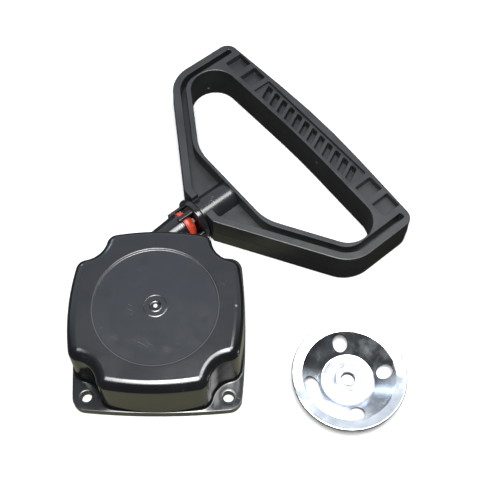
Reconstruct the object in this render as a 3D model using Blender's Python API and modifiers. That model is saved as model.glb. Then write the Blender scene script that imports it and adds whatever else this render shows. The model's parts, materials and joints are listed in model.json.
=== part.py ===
"""Recoil starter: moulded housing, rope pulley with pawls, pull handle and starter cup."""
import math

import bmesh
import bpy
from mathutils import Matrix, Vector

MM = 0.001

# Housing. The pulley turns about the world Z axis and the mounting face is at z = 0.
HOUSING_HEIGHT = 44.0 * MM
WALL = 2.5 * MM
DOME_HALF = 51.8 * MM
DOME_SIDE_RADIUS = 150.0 * MM
DOME_EDGE_RADIUS = 6.5 * MM
LOBE_RADIUS = 7.5 * MM
NOTCH_CENTRE = 46.5 * MM
NOTCH_RADIUS = 14.5 * MM
FLANGE_HALF = 52.2 * MM
FLANGE_THICK = 6.5 * MM
EAR_HOLE = 42.0 * MM
EAR_HOLE_RADIUS = 3.3 * MM
EAR_RADIUS = 8.2 * MM
POST_RADIUS = 7.0 * MM
POST_LOW = 6.0 * MM
WELL_RADIUS = 47.6 * MM
CEILING = HOUSING_HEIGHT - WALL
POST_BORE = 2.6 * MM
TIP_BORE = 1.8 * MM
HUB_DIMPLE = 3.2 * MM
SHELL_LOW = 0.4 * MM
FLANGE_OVERLAP = 1.2 * MM

# Centre pin and its washers.
PIN_RADIUS = 2.3 * MM
PIN_TIP_RADIUS = 1.45 * MM
PIN_TIP = 43.5 * MM
PIN_SHOULDER = 5.5 * MM
PIN_SHOULDER_RADIUS = 3.9 * MM
PIN_HEAD_RADIUS = 6.0 * MM
PIN_HEAD_LOW = 0.8 * MM
PIN_HEAD_HIGH = 2.1 * MM
HUB_WASHER = (7.3 * MM, 10.4 * MM, 39.1 * MM, 40.4 * MM)
FRICTION_WASHER = (4.2 * MM, 8.2 * MM, 4.3 * MM, 5.6 * MM)

# The rope leaves along this line, beside the pulley axis and level with its groove.
ROPE_ANGLE = math.radians(39.2)
ROPE_OFFSET = 46.3 * MM
ROPE_Z = 13.0 * MM
ROPE_RADIUS = 1.8 * MM
NECK_END = 52.5 * MM
NECK_START = 10.0 * MM
NECK_BORE = 6.0 * MM
NECK_END_RADIUS = 10.8 * MM
NECK_START_RADIUS = 7.4 * MM
NECK_MOUTH = 8.9 * MM
EYELET_BORE = 3.0 * MM
WIPER_RADIUS = 9.4 * MM
WIPER_ROUND = 3.4 * MM
WIPER_LENGTH = 5.6 * MM
WIPER_BORE = 2.4 * MM

# Guide cage round the wiper: a collar on four fingers.
COLLAR_LOW = 60.6 * MM
COLLAR_HIGH = 65.8 * MM
COLLAR_RADIUS = 14.4 * MM
COLLAR_BORE = 6.0 * MM
FINGER_START = 50.4 * MM
FINGER_INNER = 11.1 * MM
FINGER_OUTER = 13.0 * MM
FINGER_HALF = 2.1 * MM
CAGE_UNDERSIDE = 0.3 * MM

# Pulley, rope and recoil spring.
PULLEY_RADIUS = 46.0 * MM
DRUM_RADIUS = 26.0 * MM
GROOVE_HALF = 2.2 * MM
FLANGE_DISC = 1.8 * MM
PULLEY_LOW = ROPE_Z - GROOVE_HALF - FLANGE_DISC
PULLEY_HIGH = ROPE_Z + GROOVE_HALF + FLANGE_DISC
PULLEY_BORE = 7.4 * MM
HUB_RADIUS = 10.6 * MM
HUB_HIGH = 38.6 * MM
WRAP_RADIUS = 43.2 * MM
WRAP_PITCH = 3.8 * MM
WRAP_TURNS = 4
SPRING_LOW = 22.2 * MM
SPRING_HIGH = 34.2 * MM
SPRING_CUP_RADIUS = 38.5 * MM
SPRING_CUP_WALL = 1.4 * MM
SPRING_CUP_FLOOR = 1.2 * MM
SPRING_CUP_LOW = 20.4 * MM
SPRING_CUP_HIGH = 36.4 * MM
SPRING_CUP_BORE = 14.0 * MM
SPRING_INNER = 11.6 * MM
SPRING_OUTER = 36.2 * MM
SPRING_STRIP = 0.6 * MM
SPRING_TURNS = 7
KNOT_RING = 20.0 * MM
KNOT_RADIUS = 3.8 * MM
ROPE_BEND = 36.0 * MM

# Pawls, their pivots and the retainer plate under them.
PAWL_PIVOT = 21.0 * MM
PAWL_LOW = 4.7 * MM
PAWL_HIGH = 8.5 * MM
RETAINER_LOW = 2.4 * MM
RETAINER_HIGH = 3.9 * MM
RETAINER_RADIUS = 23.5 * MM
RETAINER_SLOT = 4.2 * MM
PAWL_POST_RADIUS = 2.2 * MM
PAWL_STUD = (-6.0 * MM, -3.0 * MM)
PAWL_STUD_RADIUS = 1.4 * MM
PAWL_WIRE = 0.45 * MM
BRAKE_WIRE = 0.5 * MM
BRAKE_RADIUS = 9.6 * MM
BRAKE_LOW = 5.0 * MM
BRAKE_HIGH = 8.0 * MM

# Handle, in distances along the rope line and across it.
HANDLE_HALF = 12.5 * MM
STEM_RADIUS = 10.5 * MM
STEM_START = 66.2 * MM
OPENING_START = 94.0 * MM
RECESS_FLOOR = 2.2 * MM
LANE_FLOOR = 8.0 * MM
LANE_HALF = 7.2 * MM
LANE_END = 74.0 * MM
POCKET_DEPTH = 5.0 * MM
PANEL_DEPTH = 2.2 * MM
POCKET_NEAR = 153.4 * MM
POCKET_FAR = 166.6 * MM
POCKET_HALF = 5.6 * MM
PANEL_HALF = 49.0 * MM
POCKETS = (-74.6 * MM, -58.7 * MM, 58.7 * MM, 74.6 * MM)
HANDLE_BORE = 2.8 * MM
KNOT_BORE = 6.6 * MM
KNOT_START = 81.5 * MM

# Starter cup, lying beside the housing.
CUP_PLACE = Vector((113.7 * MM, -30.0 * MM, 0.0))
CUP_HOLE_RING = 22.3 * MM
CUP_HOLE_RADIUS = 4.6 * MM
CUP_HOLE_TURN = math.radians(10.0)

GAP = 0.3 * MM
ROPE_DIR = Vector((math.cos(ROPE_ANGLE), math.sin(ROPE_ANGLE), 0.0))
ROPE_SIDE = Vector((-math.sin(ROPE_ANGLE), math.cos(ROPE_ANGLE), 0.0))


# ---------------------------------------------------------------- scene and materials

def clear_scene():
    for obj in list(bpy.data.objects):
        bpy.data.objects.remove(obj, do_unlink=True)


def collection(name):
    made = bpy.data.collections.new(name)
    bpy.context.scene.collection.children.link(made)
    return made


def material(name, colour, roughness, metallic=0.0):
    mat = bpy.data.materials.new(name)
    mat.use_nodes = True
    shader = mat.node_tree.nodes["Principled BSDF"]
    shader.inputs["Base Color"].default_value = (*colour, 1.0)
    shader.inputs["Roughness"].default_value = roughness
    shader.inputs["Metallic"].default_value = metallic
    return mat


def add_mesh(name, bm, place=None, mat=None, group=None):
    mesh = bpy.data.meshes.new(name)
    bm.to_mesh(mesh)
    bm.free()
    obj = bpy.data.objects.new(name, mesh)
    if place is not None:
        obj.matrix_world = place
    if mat is not None:
        mesh.materials.append(mat)
    (group or PARTS).objects.link(obj)
    return obj


def smooth(obj, degrees=35):
    obj.data.shade_smooth()
    obj.data.set_sharp_from_angle(angle=math.radians(degrees))
    return obj


# ---------------------------------------------------------------- outlines

def rotate(point, angle):
    c, s = math.cos(angle), math.sin(angle)
    return (point[0] * c - point[1] * s, point[0] * s + point[1] * c)


def arc(centre, radius, start, end, steps):
    return [(centre[0] + radius * math.cos(start + (end - start) * i / steps),
             centre[1] + radius * math.sin(start + (end - start) * i / steps))
            for i in range(steps + 1)]


def rounded(corners, step=math.radians(15)):
    """Points of an outline whose corners are (x, y, radius)."""
    points = []
    count = len(corners)
    for i in range(count):
        here = Vector(corners[i][:2])
        radius = corners[i][2]
        if radius == 0.0:
            points.append(tuple(here))
            continue
        back = (Vector(corners[i - 1][:2]) - here).normalized()
        ahead = (Vector(corners[(i + 1) % count][:2]) - here).normalized()
        half = back.angle(ahead) / 2
        centre = here + (back + ahead).normalized() * radius / math.sin(half)
        first = here + back * radius / math.tan(half) - centre
        last = here + ahead * radius / math.tan(half) - centre
        start = math.atan2(first.y, first.x)
        sweep = (math.atan2(last.y, last.x) - start + math.pi) % math.tau - math.pi
        steps = max(2, math.ceil(abs(sweep) / step))
        points += arc(centre, radius, start, start + sweep, steps)
    return points


def band(path, width):
    """Outline of a strip of this width along an open path."""
    left, right = [], []
    for i, point in enumerate(path):
        here = Vector(point)
        ahead = Vector(path[min(i + 1, len(path) - 1)])
        back = Vector(path[max(i - 1, 0)])
        side = (ahead - back).normalized() * width / 2
        left.append((here.x - side.y, here.y + side.x))
        right.append((here.x + side.y, here.y - side.x))
    return left + right[::-1]


def meeting(centre_a, radius_a, centre_b, radius_b):
    """The meeting point of two circles that lies to the right of the line from a to b."""
    a, b = Vector(centre_a), Vector(centre_b)
    gap = (b - a).length
    along = (gap * gap + radius_a ** 2 - radius_b ** 2) / (2 * gap)
    height = math.sqrt(radius_a ** 2 - along ** 2)
    line = (b - a) / gap
    return a + line * along + Vector((line.y, -line.x)) * height


def dome_outline():
    """Four slightly bowed sides, with a round notch at each corner for the ear screws."""
    side = Vector((DOME_HALF - DOME_SIDE_RADIUS, 0.0))
    notch = Vector((NOTCH_CENTRE, NOTCH_CENTRE))
    lobe = meeting(side, DOME_SIDE_RADIUS - LOBE_RADIUS, notch, NOTCH_RADIUS + LOBE_RADIUS)
    side_end = math.atan2(lobe.y - side.y, lobe.x - side.x)
    to_notch = math.atan2(notch.y - lobe.y, notch.x - lobe.x)
    from_notch = to_notch + math.pi
    quarter = arc(side, DOME_SIDE_RADIUS, -side_end, side_end, 6)
    quarter += arc(lobe, LOBE_RADIUS, side_end, to_notch, 5)[1:]
    low = from_notch - math.tau
    high = math.radians(-90) - (low - math.radians(-180))
    quarter += arc(notch, NOTCH_RADIUS, low, high, 8)[1:]
    other = Vector((lobe.y, lobe.x))
    quarter += arc(other, LOBE_RADIUS, math.radians(90) - to_notch,
                   math.radians(90) - side_end, 5)[1:-1]
    return [rotate(p, k * math.pi / 2) for k in range(4) for p in quarter]


def flange_outline(inset=0.0):
    """Four bowed sides that run into the round of each ear."""
    half = FLANGE_HALF
    reach = half - EAR_HOLE
    bow = (EAR_HOLE ** 2 + reach ** 2 - EAR_RADIUS ** 2) / (2 * (reach - EAR_RADIUS))
    side = (half - bow, 0.0)
    side_end = math.atan2(EAR_HOLE, EAR_HOLE - side[0])
    quarter = arc(side, bow - inset, -side_end, side_end, 6)
    quarter += arc((EAR_HOLE, EAR_HOLE), EAR_RADIUS - inset, side_end,
                   math.pi / 2 - side_end, 8)[1:-1]
    return [rotate(p, k * math.pi / 2) for k in range(4) for p in quarter]


# ---------------------------------------------------------------- solids

def plate(name, outlines, low, high, place=None, mat=None, group=None):
    """A flat solid from closed outlines; outlines after the first are its holes."""
    curve = bpy.data.curves.new(name, "CURVE")
    curve.dimensions = "2D"
    curve.fill_mode = "BOTH"
    curve.extrude = (high - low) / 2
    for outline in outlines:
        spline = curve.splines.new("POLY")
        spline.points.add(len(outline) - 1)
        for point, (x, y) in zip(spline.points, outline):
            point.co = (x, y, 0.0, 1.0)
        spline.use_cyclic_u = True
    drawn = bpy.data.objects.new(name + "_outline", curve)
    PARTS.objects.link(drawn)
    drawn.matrix_world = (place or Matrix()) @ Matrix.Translation((0, 0, (low + high) / 2))
    return mesh_from_curve(drawn, name, mat, group)


def mesh_from_curve(drawn, name, mat=None, group=None):
    bpy.context.view_layer.update()
    graph = bpy.context.evaluated_depsgraph_get()
    mesh = bpy.data.meshes.new_from_object(drawn.evaluated_get(graph))
    bm = bmesh.new()
    bm.from_mesh(mesh)
    bmesh.ops.remove_doubles(bm, verts=bm.verts, dist=0.00001)
    bmesh.ops.recalc_face_normals(bm, faces=bm.faces)
    place = drawn.matrix_world.copy()
    bpy.data.objects.remove(drawn, do_unlink=True)
    bpy.data.meshes.remove(mesh)
    return add_mesh(name, bm, place, mat, group)


def turned(name, profile, steps, place=None, mat=None, group=None):
    """A turned solid; the closed profile of (radius, height) runs down its outer side."""
    bm = bmesh.new()
    verts = [bm.verts.new((r, 0.0, h)) for r, h in profile]
    closed = profile[0][0] > 0.0
    for a, b in zip(verts, verts[1:]):
        bm.edges.new((a, b))
    if closed:
        bm.edges.new((verts[-1], verts[0]))
    obj = add_mesh(name, bm, place, mat, group)
    screw = obj.modifiers.new("turn", "SCREW")
    screw.steps = steps
    screw.render_steps = steps
    screw.use_merge_vertices = True
    screw.merge_threshold = 0.00001
    return obj


def cylinder(name, radius, low, high, place=None, mat=None, group=None, sides=32, top=None):
    bm = bmesh.new()
    bmesh.ops.create_cone(bm, cap_ends=True, segments=sides, radius1=radius,
                          radius2=radius if top is None else top, depth=high - low)
    bmesh.ops.translate(bm, verts=bm.verts, vec=(0, 0, (low + high) / 2))
    return add_mesh(name, bm, place, mat, group)


def box(name, low, high, place=None, mat=None, group=None):
    bm = bmesh.new()
    size = Vector(high) - Vector(low)
    middle = (Vector(high) + Vector(low)) / 2
    bmesh.ops.create_cube(bm, size=1.0, matrix=Matrix.Translation(middle) @ Matrix.Diagonal((*size, 1)))
    return add_mesh(name, bm, place, mat, group)


def tube(name, points, radius, mat=None, resolution=2):
    """A round rope or wire with closed ends along world points."""
    curve = bpy.data.curves.new(name, "CURVE")
    curve.dimensions = "3D"
    curve.bevel_depth = radius
    curve.bevel_resolution = resolution
    curve.use_fill_caps = True
    spline = curve.splines.new("POLY")
    spline.points.add(len(points) - 1)
    for point, co in zip(spline.points, points):
        point.co = (*co, 1.0)
    obj = bpy.data.objects.new(name, curve)
    if mat is not None:
        curve.materials.append(mat)
    PARTS.objects.link(obj)
    return obj


def combine(obj, other, operation):
    """A live boolean with a helper that stays hidden."""
    other.hide_render = True
    other.display_type = "WIRE"
    mod = obj.modifiers.new(other.name, "BOOLEAN")
    mod.object = other
    mod.operation = operation
    mod.solver = "EXACT"
    return obj


def cut(obj, other):
    return combine(obj, other, "DIFFERENCE")


def join(obj, other):
    return combine(obj, other, "UNION")


# ---------------------------------------------------------------- frames

def rope_point(u, v=0.0, z=ROPE_Z):
    """World point at u along the rope line and v across it."""
    return ROPE_DIR * u + ROPE_SIDE * (ROPE_OFFSET + v) + Vector((0, 0, z))


def rope_frame(u=0.0):
    """Local Z runs along the rope line and local X points up."""
    up = Vector((0, 0, 1))
    frame = Matrix((up, ROPE_DIR.cross(up), ROPE_DIR)).transposed().to_4x4()
    return Matrix.Translation(rope_point(u)) @ frame


def handle_frame():
    """Local X runs along the rope line, local Y across it and local Z up."""
    return Matrix.Translation(rope_point(0.0)) @ Matrix.Rotation(ROPE_ANGLE, 4, "Z")


def pawl_angle(index):
    return ROPE_ANGLE + index * math.pi


# ---------------------------------------------------------------- housing and neck

def housing_shell(mat):
    bm = bmesh.new()
    ring = [bm.verts.new((x, y, HOUSING_HEIGHT)) for x, y in dome_outline()]
    bm.faces.new(ring)
    foot = [bm.verts.new((v.co.x, v.co.y, SHELL_LOW)) for v in ring]
    for i in range(len(ring)):
        j = (i + 1) % len(ring)
        bm.faces.new((ring[i], foot[i], foot[j], ring[j]))
    shell = add_mesh("housing_shell", bm, None, mat)
    bevel = shell.modifiers.new("dome_edge", "BEVEL")
    bevel.width = DOME_EDGE_RADIUS
    bevel.segments = 4
    bevel.limit_method = "ANGLE"
    bevel.angle_limit = math.radians(60)
    bevel.use_clamp_overlap = False
    solid = shell.modifiers.new("wall", "SOLIDIFY")
    solid.thickness = WALL
    solid.offset = -1.0
    solid.use_even_offset = True

    inset = 1 - FLANGE_OVERLAP / DOME_HALF
    inner = [(x * inset, y * inset) for x, y in dome_outline()]
    join(shell, plate("flange", [flange_outline(), inner], 0.0, FLANGE_THICK, group=HELPERS))
    join(shell, cylinder("neck", NECK_START_RADIUS, NECK_START, NECK_END, rope_frame(),
                         group=HELPERS, top=NECK_END_RADIUS))
    cut(shell, cylinder("pulley_well", WELL_RADIUS, -1 * MM, 39.5 * MM, group=HELPERS, sides=64))
    cut(shell, cylinder("neck_bore", NECK_BORE, NECK_START + 2 * MM, NECK_END + 1 * MM, rope_frame(),
                        group=HELPERS, sides=24))
    cut(shell, cylinder("neck_counterbore", NECK_MOUTH, NECK_END - 1.5 * MM, NECK_END + 1 * MM,
                        rope_frame(), group=HELPERS, sides=24))
    join(shell, cylinder("post", POST_RADIUS, POST_LOW, CEILING + 1 * MM, group=HELPERS))
    cut(shell, cylinder("post_bore", POST_BORE, -1 * MM, 41.4 * MM, group=HELPERS, sides=20))
    cut(shell, cylinder("tip_bore", TIP_BORE, 41 * MM, 43.2 * MM, group=HELPERS, sides=20))
    cut(shell, cylinder("hub_dimple", HUB_DIMPLE, 42.9 * MM, 45 * MM, group=HELPERS, sides=24))
    for i in range(4):
        x, y = rotate((EAR_HOLE, EAR_HOLE), i * math.pi / 2)
        place = Matrix.Translation((x, y, 0))
        cut(shell, cylinder(f"ear_hole_{i + 1}", EAR_HOLE_RADIUS, -1 * MM, 8 * MM, place,
                            group=HELPERS, sides=24))
    return shell


def neck_parts(steel, red, gloss):
    low = 38 * MM
    flange_low = NECK_END - 1.2 * MM
    sleeve = NECK_BORE - GAP
    flare = EYELET_BORE + 0.4 * MM
    turned("rope_eyelet", [(NECK_MOUTH - GAP, NECK_END), (NECK_MOUTH - GAP, flange_low),
                           (sleeve, flange_low), (sleeve, low), (flare, low),
                           (EYELET_BORE, low + 2 * MM), (EYELET_BORE, NECK_END - 1 * MM),
                           (EYELET_BORE + 1 * MM, NECK_END)],
           24, rope_frame(), steel)
    start = NECK_END + GAP
    side = WIPER_RADIUS - WIPER_ROUND
    crown = [(side + WIPER_ROUND * math.cos(a), start + WIPER_ROUND * (1 + math.sin(a)))
             for a in [math.radians(d) for d in (80, 55, 30, 0)]]
    rim = WIPER_RADIUS + 1.0 * MM
    turned("rope_wiper", crown + [(WIPER_RADIUS, start + 1.3 * MM), (rim - 0.1 * MM, start + 1.1 * MM),
                                  (rim, start + 0.8 * MM), (rim - 0.1 * MM, start),
                                  (WIPER_BORE, start), (WIPER_BORE, start + WIPER_LENGTH)],
           28, rope_frame(), red)

    cage = turned("rope_guide_cage",
                  [(COLLAR_RADIUS - 2 * MM, COLLAR_HIGH), (COLLAR_RADIUS - 0.2 * MM, COLLAR_HIGH - 1.6 * MM),
                   (COLLAR_RADIUS, COLLAR_LOW + 1 * MM), (COLLAR_RADIUS - 0.6 * MM, COLLAR_LOW),
                   (COLLAR_BORE, COLLAR_LOW), (COLLAR_BORE, COLLAR_HIGH)],
                  40, rope_frame(), gloss)
    finger = box("cage_finger_a", (FINGER_INNER, -FINGER_HALF, FINGER_START),
                 (FINGER_OUTER, FINGER_HALF, COLLAR_LOW + 0.4 * MM), rope_frame(), group=HELPERS)
    join(cage, finger)
    for name, turn in (("b", 90), ("c", 180), ("d", 270)):
        twin = bpy.data.objects.new("cage_finger_" + name, finger.data)
        twin.matrix_world = rope_frame() @ Matrix.Rotation(math.radians(turn), 4, "Z")
        HELPERS.objects.link(twin)
        join(cage, twin)
    cut(cage, box("cage_flat", (-20 * MM, -20 * MM, 45 * MM),
                  (CAGE_UNDERSIDE - ROPE_Z, 20 * MM, 70 * MM), rope_frame(), group=HELPERS))


def centre_parts(steel, nylon):
    turned("centre_pin", [(0.0, PIN_TIP), (PIN_TIP_RADIUS - 0.25 * MM, PIN_TIP),
                          (PIN_TIP_RADIUS, PIN_TIP - 0.3 * MM), (PIN_TIP_RADIUS, PIN_TIP - 2.3 * MM),
                          (PIN_RADIUS, PIN_TIP - 2.7 * MM), (PIN_RADIUS, PIN_SHOULDER),
                          (PIN_SHOULDER_RADIUS, PIN_SHOULDER), (PIN_SHOULDER_RADIUS, PIN_HEAD_HIGH),
                          (PIN_HEAD_RADIUS, PIN_HEAD_HIGH),
                          (PIN_HEAD_RADIUS, PIN_HEAD_LOW + 0.3 * MM),
                          (PIN_HEAD_RADIUS - 0.3 * MM, PIN_HEAD_LOW), (0.0, PIN_HEAD_LOW)],
           28, None, steel)
    for name, size, mat in (("hub_washer", HUB_WASHER, nylon), ("friction_washer", FRICTION_WASHER, steel)):
        bore, radius, low, high = size
        turned(name, [(radius, high), (radius, low), (bore, low), (bore, high)], 28, None, mat)


# ---------------------------------------------------------------- spring, pulley and rope

def spring_parts(spring_steel, nylon):
    inner_wall, floor_top = SPRING_CUP_RADIUS - SPRING_CUP_WALL, SPRING_CUP_LOW + SPRING_CUP_FLOOR
    turned("spring_cup", [(SPRING_CUP_RADIUS, SPRING_CUP_HIGH), (SPRING_CUP_RADIUS, SPRING_CUP_LOW),
                          (SPRING_CUP_BORE, SPRING_CUP_LOW), (SPRING_CUP_BORE, floor_top),
                          (inner_wall, floor_top), (inner_wall, SPRING_CUP_HIGH)], 48, None, nylon)
    bm = bmesh.new()
    per_turn = 22
    count = SPRING_TURNS * per_turn
    rows = []
    for i in range(count + 1):
        share = i / count
        angle = share * SPRING_TURNS * math.tau
        radius = SPRING_INNER + (SPRING_OUTER - SPRING_INNER) * share ** 0.8
        rows.append([bm.verts.new((radius * math.cos(angle), radius * math.sin(angle), z))
                     for z in (SPRING_LOW, SPRING_HIGH)])
    for a, b in zip(rows, rows[1:]):
        bm.faces.new((a[0], b[0], b[1], a[1]))
    coil = add_mesh("recoil_spring", bm, None, spring_steel)
    solid = coil.modifiers.new("strip", "SOLIDIFY")
    solid.thickness = SPRING_STRIP
    solid.offset = 0.0


def rope_pulley(mat):
    low, high = PULLEY_LOW, PULLEY_HIGH
    groove_low, groove_high = ROPE_Z - GROOVE_HALF, ROPE_Z + GROOVE_HALF
    pulley = turned("rope_pulley",
                    [(HUB_RADIUS, HUB_HIGH), (HUB_RADIUS, high), (PULLEY_RADIUS, high),
                     (PULLEY_RADIUS, groove_high + 0.6 * MM), (DRUM_RADIUS, groove_high),
                     (DRUM_RADIUS, groove_low), (PULLEY_RADIUS, groove_low - 0.6 * MM),
                     (PULLEY_RADIUS, low), (PULLEY_BORE, low), (PULLEY_BORE, HUB_HIGH)],
                    56, None, mat)
    for i in range(2):
        spot = Vector((*rotate((PAWL_PIVOT, 0.0), pawl_angle(i)), 0.0))
        join(pulley, cylinder(f"pawl_post_{i + 1}", PAWL_POST_RADIUS, 4.3 * MM, low + 1 * MM,
                              Matrix.Translation(spot), group=HELPERS, sides=16))
    knot = knot_place()
    cut(pulley, cylinder("knot_pocket", 4.6 * MM, low - 1 * MM, ROPE_Z + 3.2 * MM,
                         Matrix.Translation((knot.x, knot.y, 0)), group=HELPERS, sides=16))
    slot = Matrix.Rotation(wrap_start(), 4, "Z")
    cut(pulley, box("rope_slot", (19 * MM, -2.4 * MM, groove_low + 0.2 * MM),
                    (30 * MM, 2.4 * MM, groove_high - 0.2 * MM), slot, group=HELPERS))
    return pulley


def wrap_start():
    """Angle about the pulley at which the rope leaves the outermost wrap."""
    eyelet = Vector((ROPE_BEND, ROPE_OFFSET))
    lean = math.atan2(eyelet.y, eyelet.x) - math.asin(WRAP_RADIUS / eyelet.length)
    return ROPE_ANGLE + lean + math.pi / 2


def knot_place():
    return Vector((*rotate((KNOT_RING, 0.0), wrap_start()), ROPE_Z))


def rope_parts(rope):
    start = wrap_start()
    per_turn = 20
    count = WRAP_TURNS * per_turn
    wraps = []
    for i in range(count + 1):
        angle = i / per_turn * math.tau
        radius = WRAP_RADIUS - WRAP_PITCH * i / per_turn
        wraps.append((*rotate((radius, 0.0), start + angle), ROPE_Z))
    tube("rope_winding", wraps, ROPE_RADIUS, rope)

    bm = bmesh.new()
    bmesh.ops.create_uvsphere(bm, u_segments=14, v_segments=9, radius=1.0)
    add_mesh("rope_anchor_knot", bm, Matrix.Translation(knot_place())
             @ Matrix.Diagonal((KNOT_RADIUS, KNOT_RADIUS, KNOT_RADIUS * 0.8, 1)), rope)

    leaving = Vector((*rotate((WRAP_RADIUS, 0.0), start), ROPE_Z))
    heading = Vector((*rotate((1.0, 0.0), start - math.pi / 2), 0.0))
    first = leaving + heading * GAP
    bend = rope_point(ROPE_BEND)
    end = rope_point(KNOT_START + 1.1 * MM)
    route = [first, first.lerp(bend, 0.5), first.lerp(bend, 0.86), bend.lerp(end, 0.1)]
    route += [bend.lerp(end, share) for share in (0.25, 0.5, 0.75, 1.0)]
    tube("rope_lead", route, ROPE_RADIUS, rope)


# ---------------------------------------------------------------- pawls and retainer

def pawl_outline():
    """Hooked pawl lying back along the pulley, pivot at the origin."""
    return rounded([(3.6 * MM, 3.6 * MM, 3.2 * MM), (-4.0 * MM, 3.6 * MM, 3.0 * MM),
                    (-8.6 * MM, -2.6 * MM, 2.0 * MM), (-6.4 * MM, -6.6 * MM, 2.0 * MM),
                    (-4.2 * MM, -8.4 * MM, 1.6 * MM), (-6.0 * MM, -18.0 * MM, 0.8 * MM),
                    (-0.8 * MM, -18.6 * MM, 0.6 * MM), (3.8 * MM, -6.0 * MM, 3.0 * MM)])


def stud_path(turn):
    """Where a pawl's stud is, in the retainer's frame, when both have turned by this angle."""
    arm = rotate(PAWL_STUD, turn)
    return rotate((PAWL_PIVOT + arm[0], arm[1]), -turn)


def pawl_parts(steel, wire):
    for i in range(2):
        place = (Matrix.Rotation(pawl_angle(i), 4, "Z")
                 @ Matrix.Translation((PAWL_PIVOT, 0, 0)))
        pawl = plate(f"pawl_{i + 1}", [pawl_outline()], PAWL_LOW, PAWL_HIGH, place, steel)
        cut(pawl, cylinder(f"pawl_bore_{i + 1}", PAWL_POST_RADIUS + GAP, 0.0, 10 * MM, place,
                           group=HELPERS, sides=16))
        stud = Matrix.Translation((*PAWL_STUD, 0))
        join(pawl, cylinder(f"pawl_stud_{i + 1}", PAWL_STUD_RADIUS, 2.5 * MM, PAWL_LOW + 1 * MM,
                            place @ stud, group=HELPERS, sides=12))
        route = [(2.6 * MM, 7.2 * MM), (5.4 * MM, 6.0 * MM), (7.4 * MM, 2.4 * MM),
                 (7.6 * MM, -2.0 * MM), (6.4 * MM, -6.0 * MM), (3.9 * MM, -10.4 * MM)]
        tube(f"pawl_spring_{i + 1}", [place @ Vector((x, y, 6.6 * MM)) for x, y in route],
             PAWL_WIRE, wire)


def retainer_and_brake(steel, wire):
    rim = arc((0, 0), RETAINER_RADIUS, 0, math.tau, 48)[:-1]
    slots = []
    for i in range(2):
        path = [stud_path(math.radians(d)) for d in (-4, 0, 6, 12.5, 19, 25, 29)]
        slots.append([rotate(p, pawl_angle(i)) for p in band(path, RETAINER_SLOT)])
    hole = arc((0, 0), PIN_SHOULDER_RADIUS + GAP, 0, math.tau, 24)[:-1]
    plate("pawl_retainer", [rim, hole] + slots, RETAINER_LOW, RETAINER_HIGH, None, steel)
    turns, per_turn = 2, 16
    coil = []
    for i in range(turns * per_turn + 1):
        angle = i / per_turn * math.tau
        height = BRAKE_LOW + (BRAKE_HIGH - BRAKE_LOW) * i / (turns * per_turn)
        coil.append((*rotate((BRAKE_RADIUS, 0), angle), height))
    tube("brake_spring", coil, BRAKE_WIRE, wire, resolution=1)


# ---------------------------------------------------------------- handle

def handle_outline():
    half = [(66.2, 15.0, 2.5), (115.6, 94.5, 24.0), (167.4, 94.5, 8.5)]
    far = [(173.8, 0.0, 550.0)]
    mirrored = [(u, -v, r) for u, v, r in reversed(half)]
    return rounded([(u * MM, v * MM, r * MM) for u, v, r in half + far + mirrored])


def opening_outline():
    half = [(94.0, 34.0, 8.0), (147.3, 120.3, 15.9)]
    far = [(151.6, 0.0, 600.0)]
    mirrored = [(u, -v, r) for u, v, r in reversed(half)]
    return rounded([(u * MM, v * MM, r * MM) for u, v, r in half + far + mirrored])


def recess_outline():
    """One deep recess between the ribs of both wings; the stem crosses its middle."""
    half = [(71.9, 13.4, 1.5), (118.8, 88.8, 18.3), (163.0, 88.8, 1.0),
            (163.0, 85.1, 1.0), (121.0, 85.1, 14.5), (91.1, 37.0, 4.0)]
    mirrored = [(u, -v, r) for u, v, r in reversed(half)]
    return rounded([(u * MM, v * MM, r * MM) for u, v, r in half + mirrored])


def handle_grip(mat):
    place = handle_frame()
    top = HANDLE_HALF + 1 * MM
    grip = plate("handle_grip", [handle_outline(), opening_outline()], -HANDLE_HALF, HANDLE_HALF,
                 place, mat)
    for side, face in ((1, "top"), (-1, "under")):
        low, high = sorted((side * RECESS_FLOOR, side * top))
        cut(grip, plate(f"recess_{face}", [recess_outline()], low, high, place, group=HELPERS))
        low, high = sorted((side * (HANDLE_HALF - PANEL_DEPTH), side * top))
        cut(grip, box(f"panel_{face}", (POCKET_NEAR, -PANEL_HALF, low), (POCKET_FAR, PANEL_HALF, high),
                      place, group=HELPERS))
        low, high = sorted((side * (HANDLE_HALF - POCKET_DEPTH), side * top))
        for i, middle in enumerate(POCKETS):
            cut(grip, box(f"pocket_{face}_{i + 1}", (POCKET_NEAR, middle - POCKET_HALF, low),
                          (POCKET_FAR, middle + POCKET_HALF, high), place, group=HELPERS))
        low, high = sorted((side * LANE_FLOOR, side * top))
        cut(grip, box(f"lane_{face}", (STEM_START - 6 * MM, -LANE_HALF, low),
                      (LANE_END, LANE_HALF, high), place, group=HELPERS))
    join(grip, cylinder("stem", STEM_RADIUS, STEM_START, OPENING_START - 0.2 * MM, rope_frame(),
                        group=HELPERS, sides=32))
    cut(grip, cylinder("rope_bore", HANDLE_BORE, STEM_START - 6 * MM, 90 * MM, rope_frame(),
                       group=HELPERS, sides=16))
    cut(grip, cylinder("knot_bore", KNOT_BORE, KNOT_START, OPENING_START + 3 * MM, rope_frame(),
                       group=HELPERS, sides=20))
    return grip


def handle_end_parts(rope, steel):
    low = KNOT_START + GAP
    turned("knot_washer", [(6.2 * MM, low + 1.2 * MM), (6.2 * MM, low), (2.2 * MM, low),
                           (2.2 * MM, low + 1.2 * MM)], 20, rope_frame(), steel)
    bm = bmesh.new()
    bmesh.ops.create_uvsphere(bm, u_segments=16, v_segments=10, radius=1.0)
    add_mesh("handle_knot", bm, rope_frame(87.8 * MM)
             @ Matrix.Diagonal((5.0 * MM, 5.0 * MM, 4.4 * MM, 1)), rope)


# ---------------------------------------------------------------- starter cup

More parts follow.
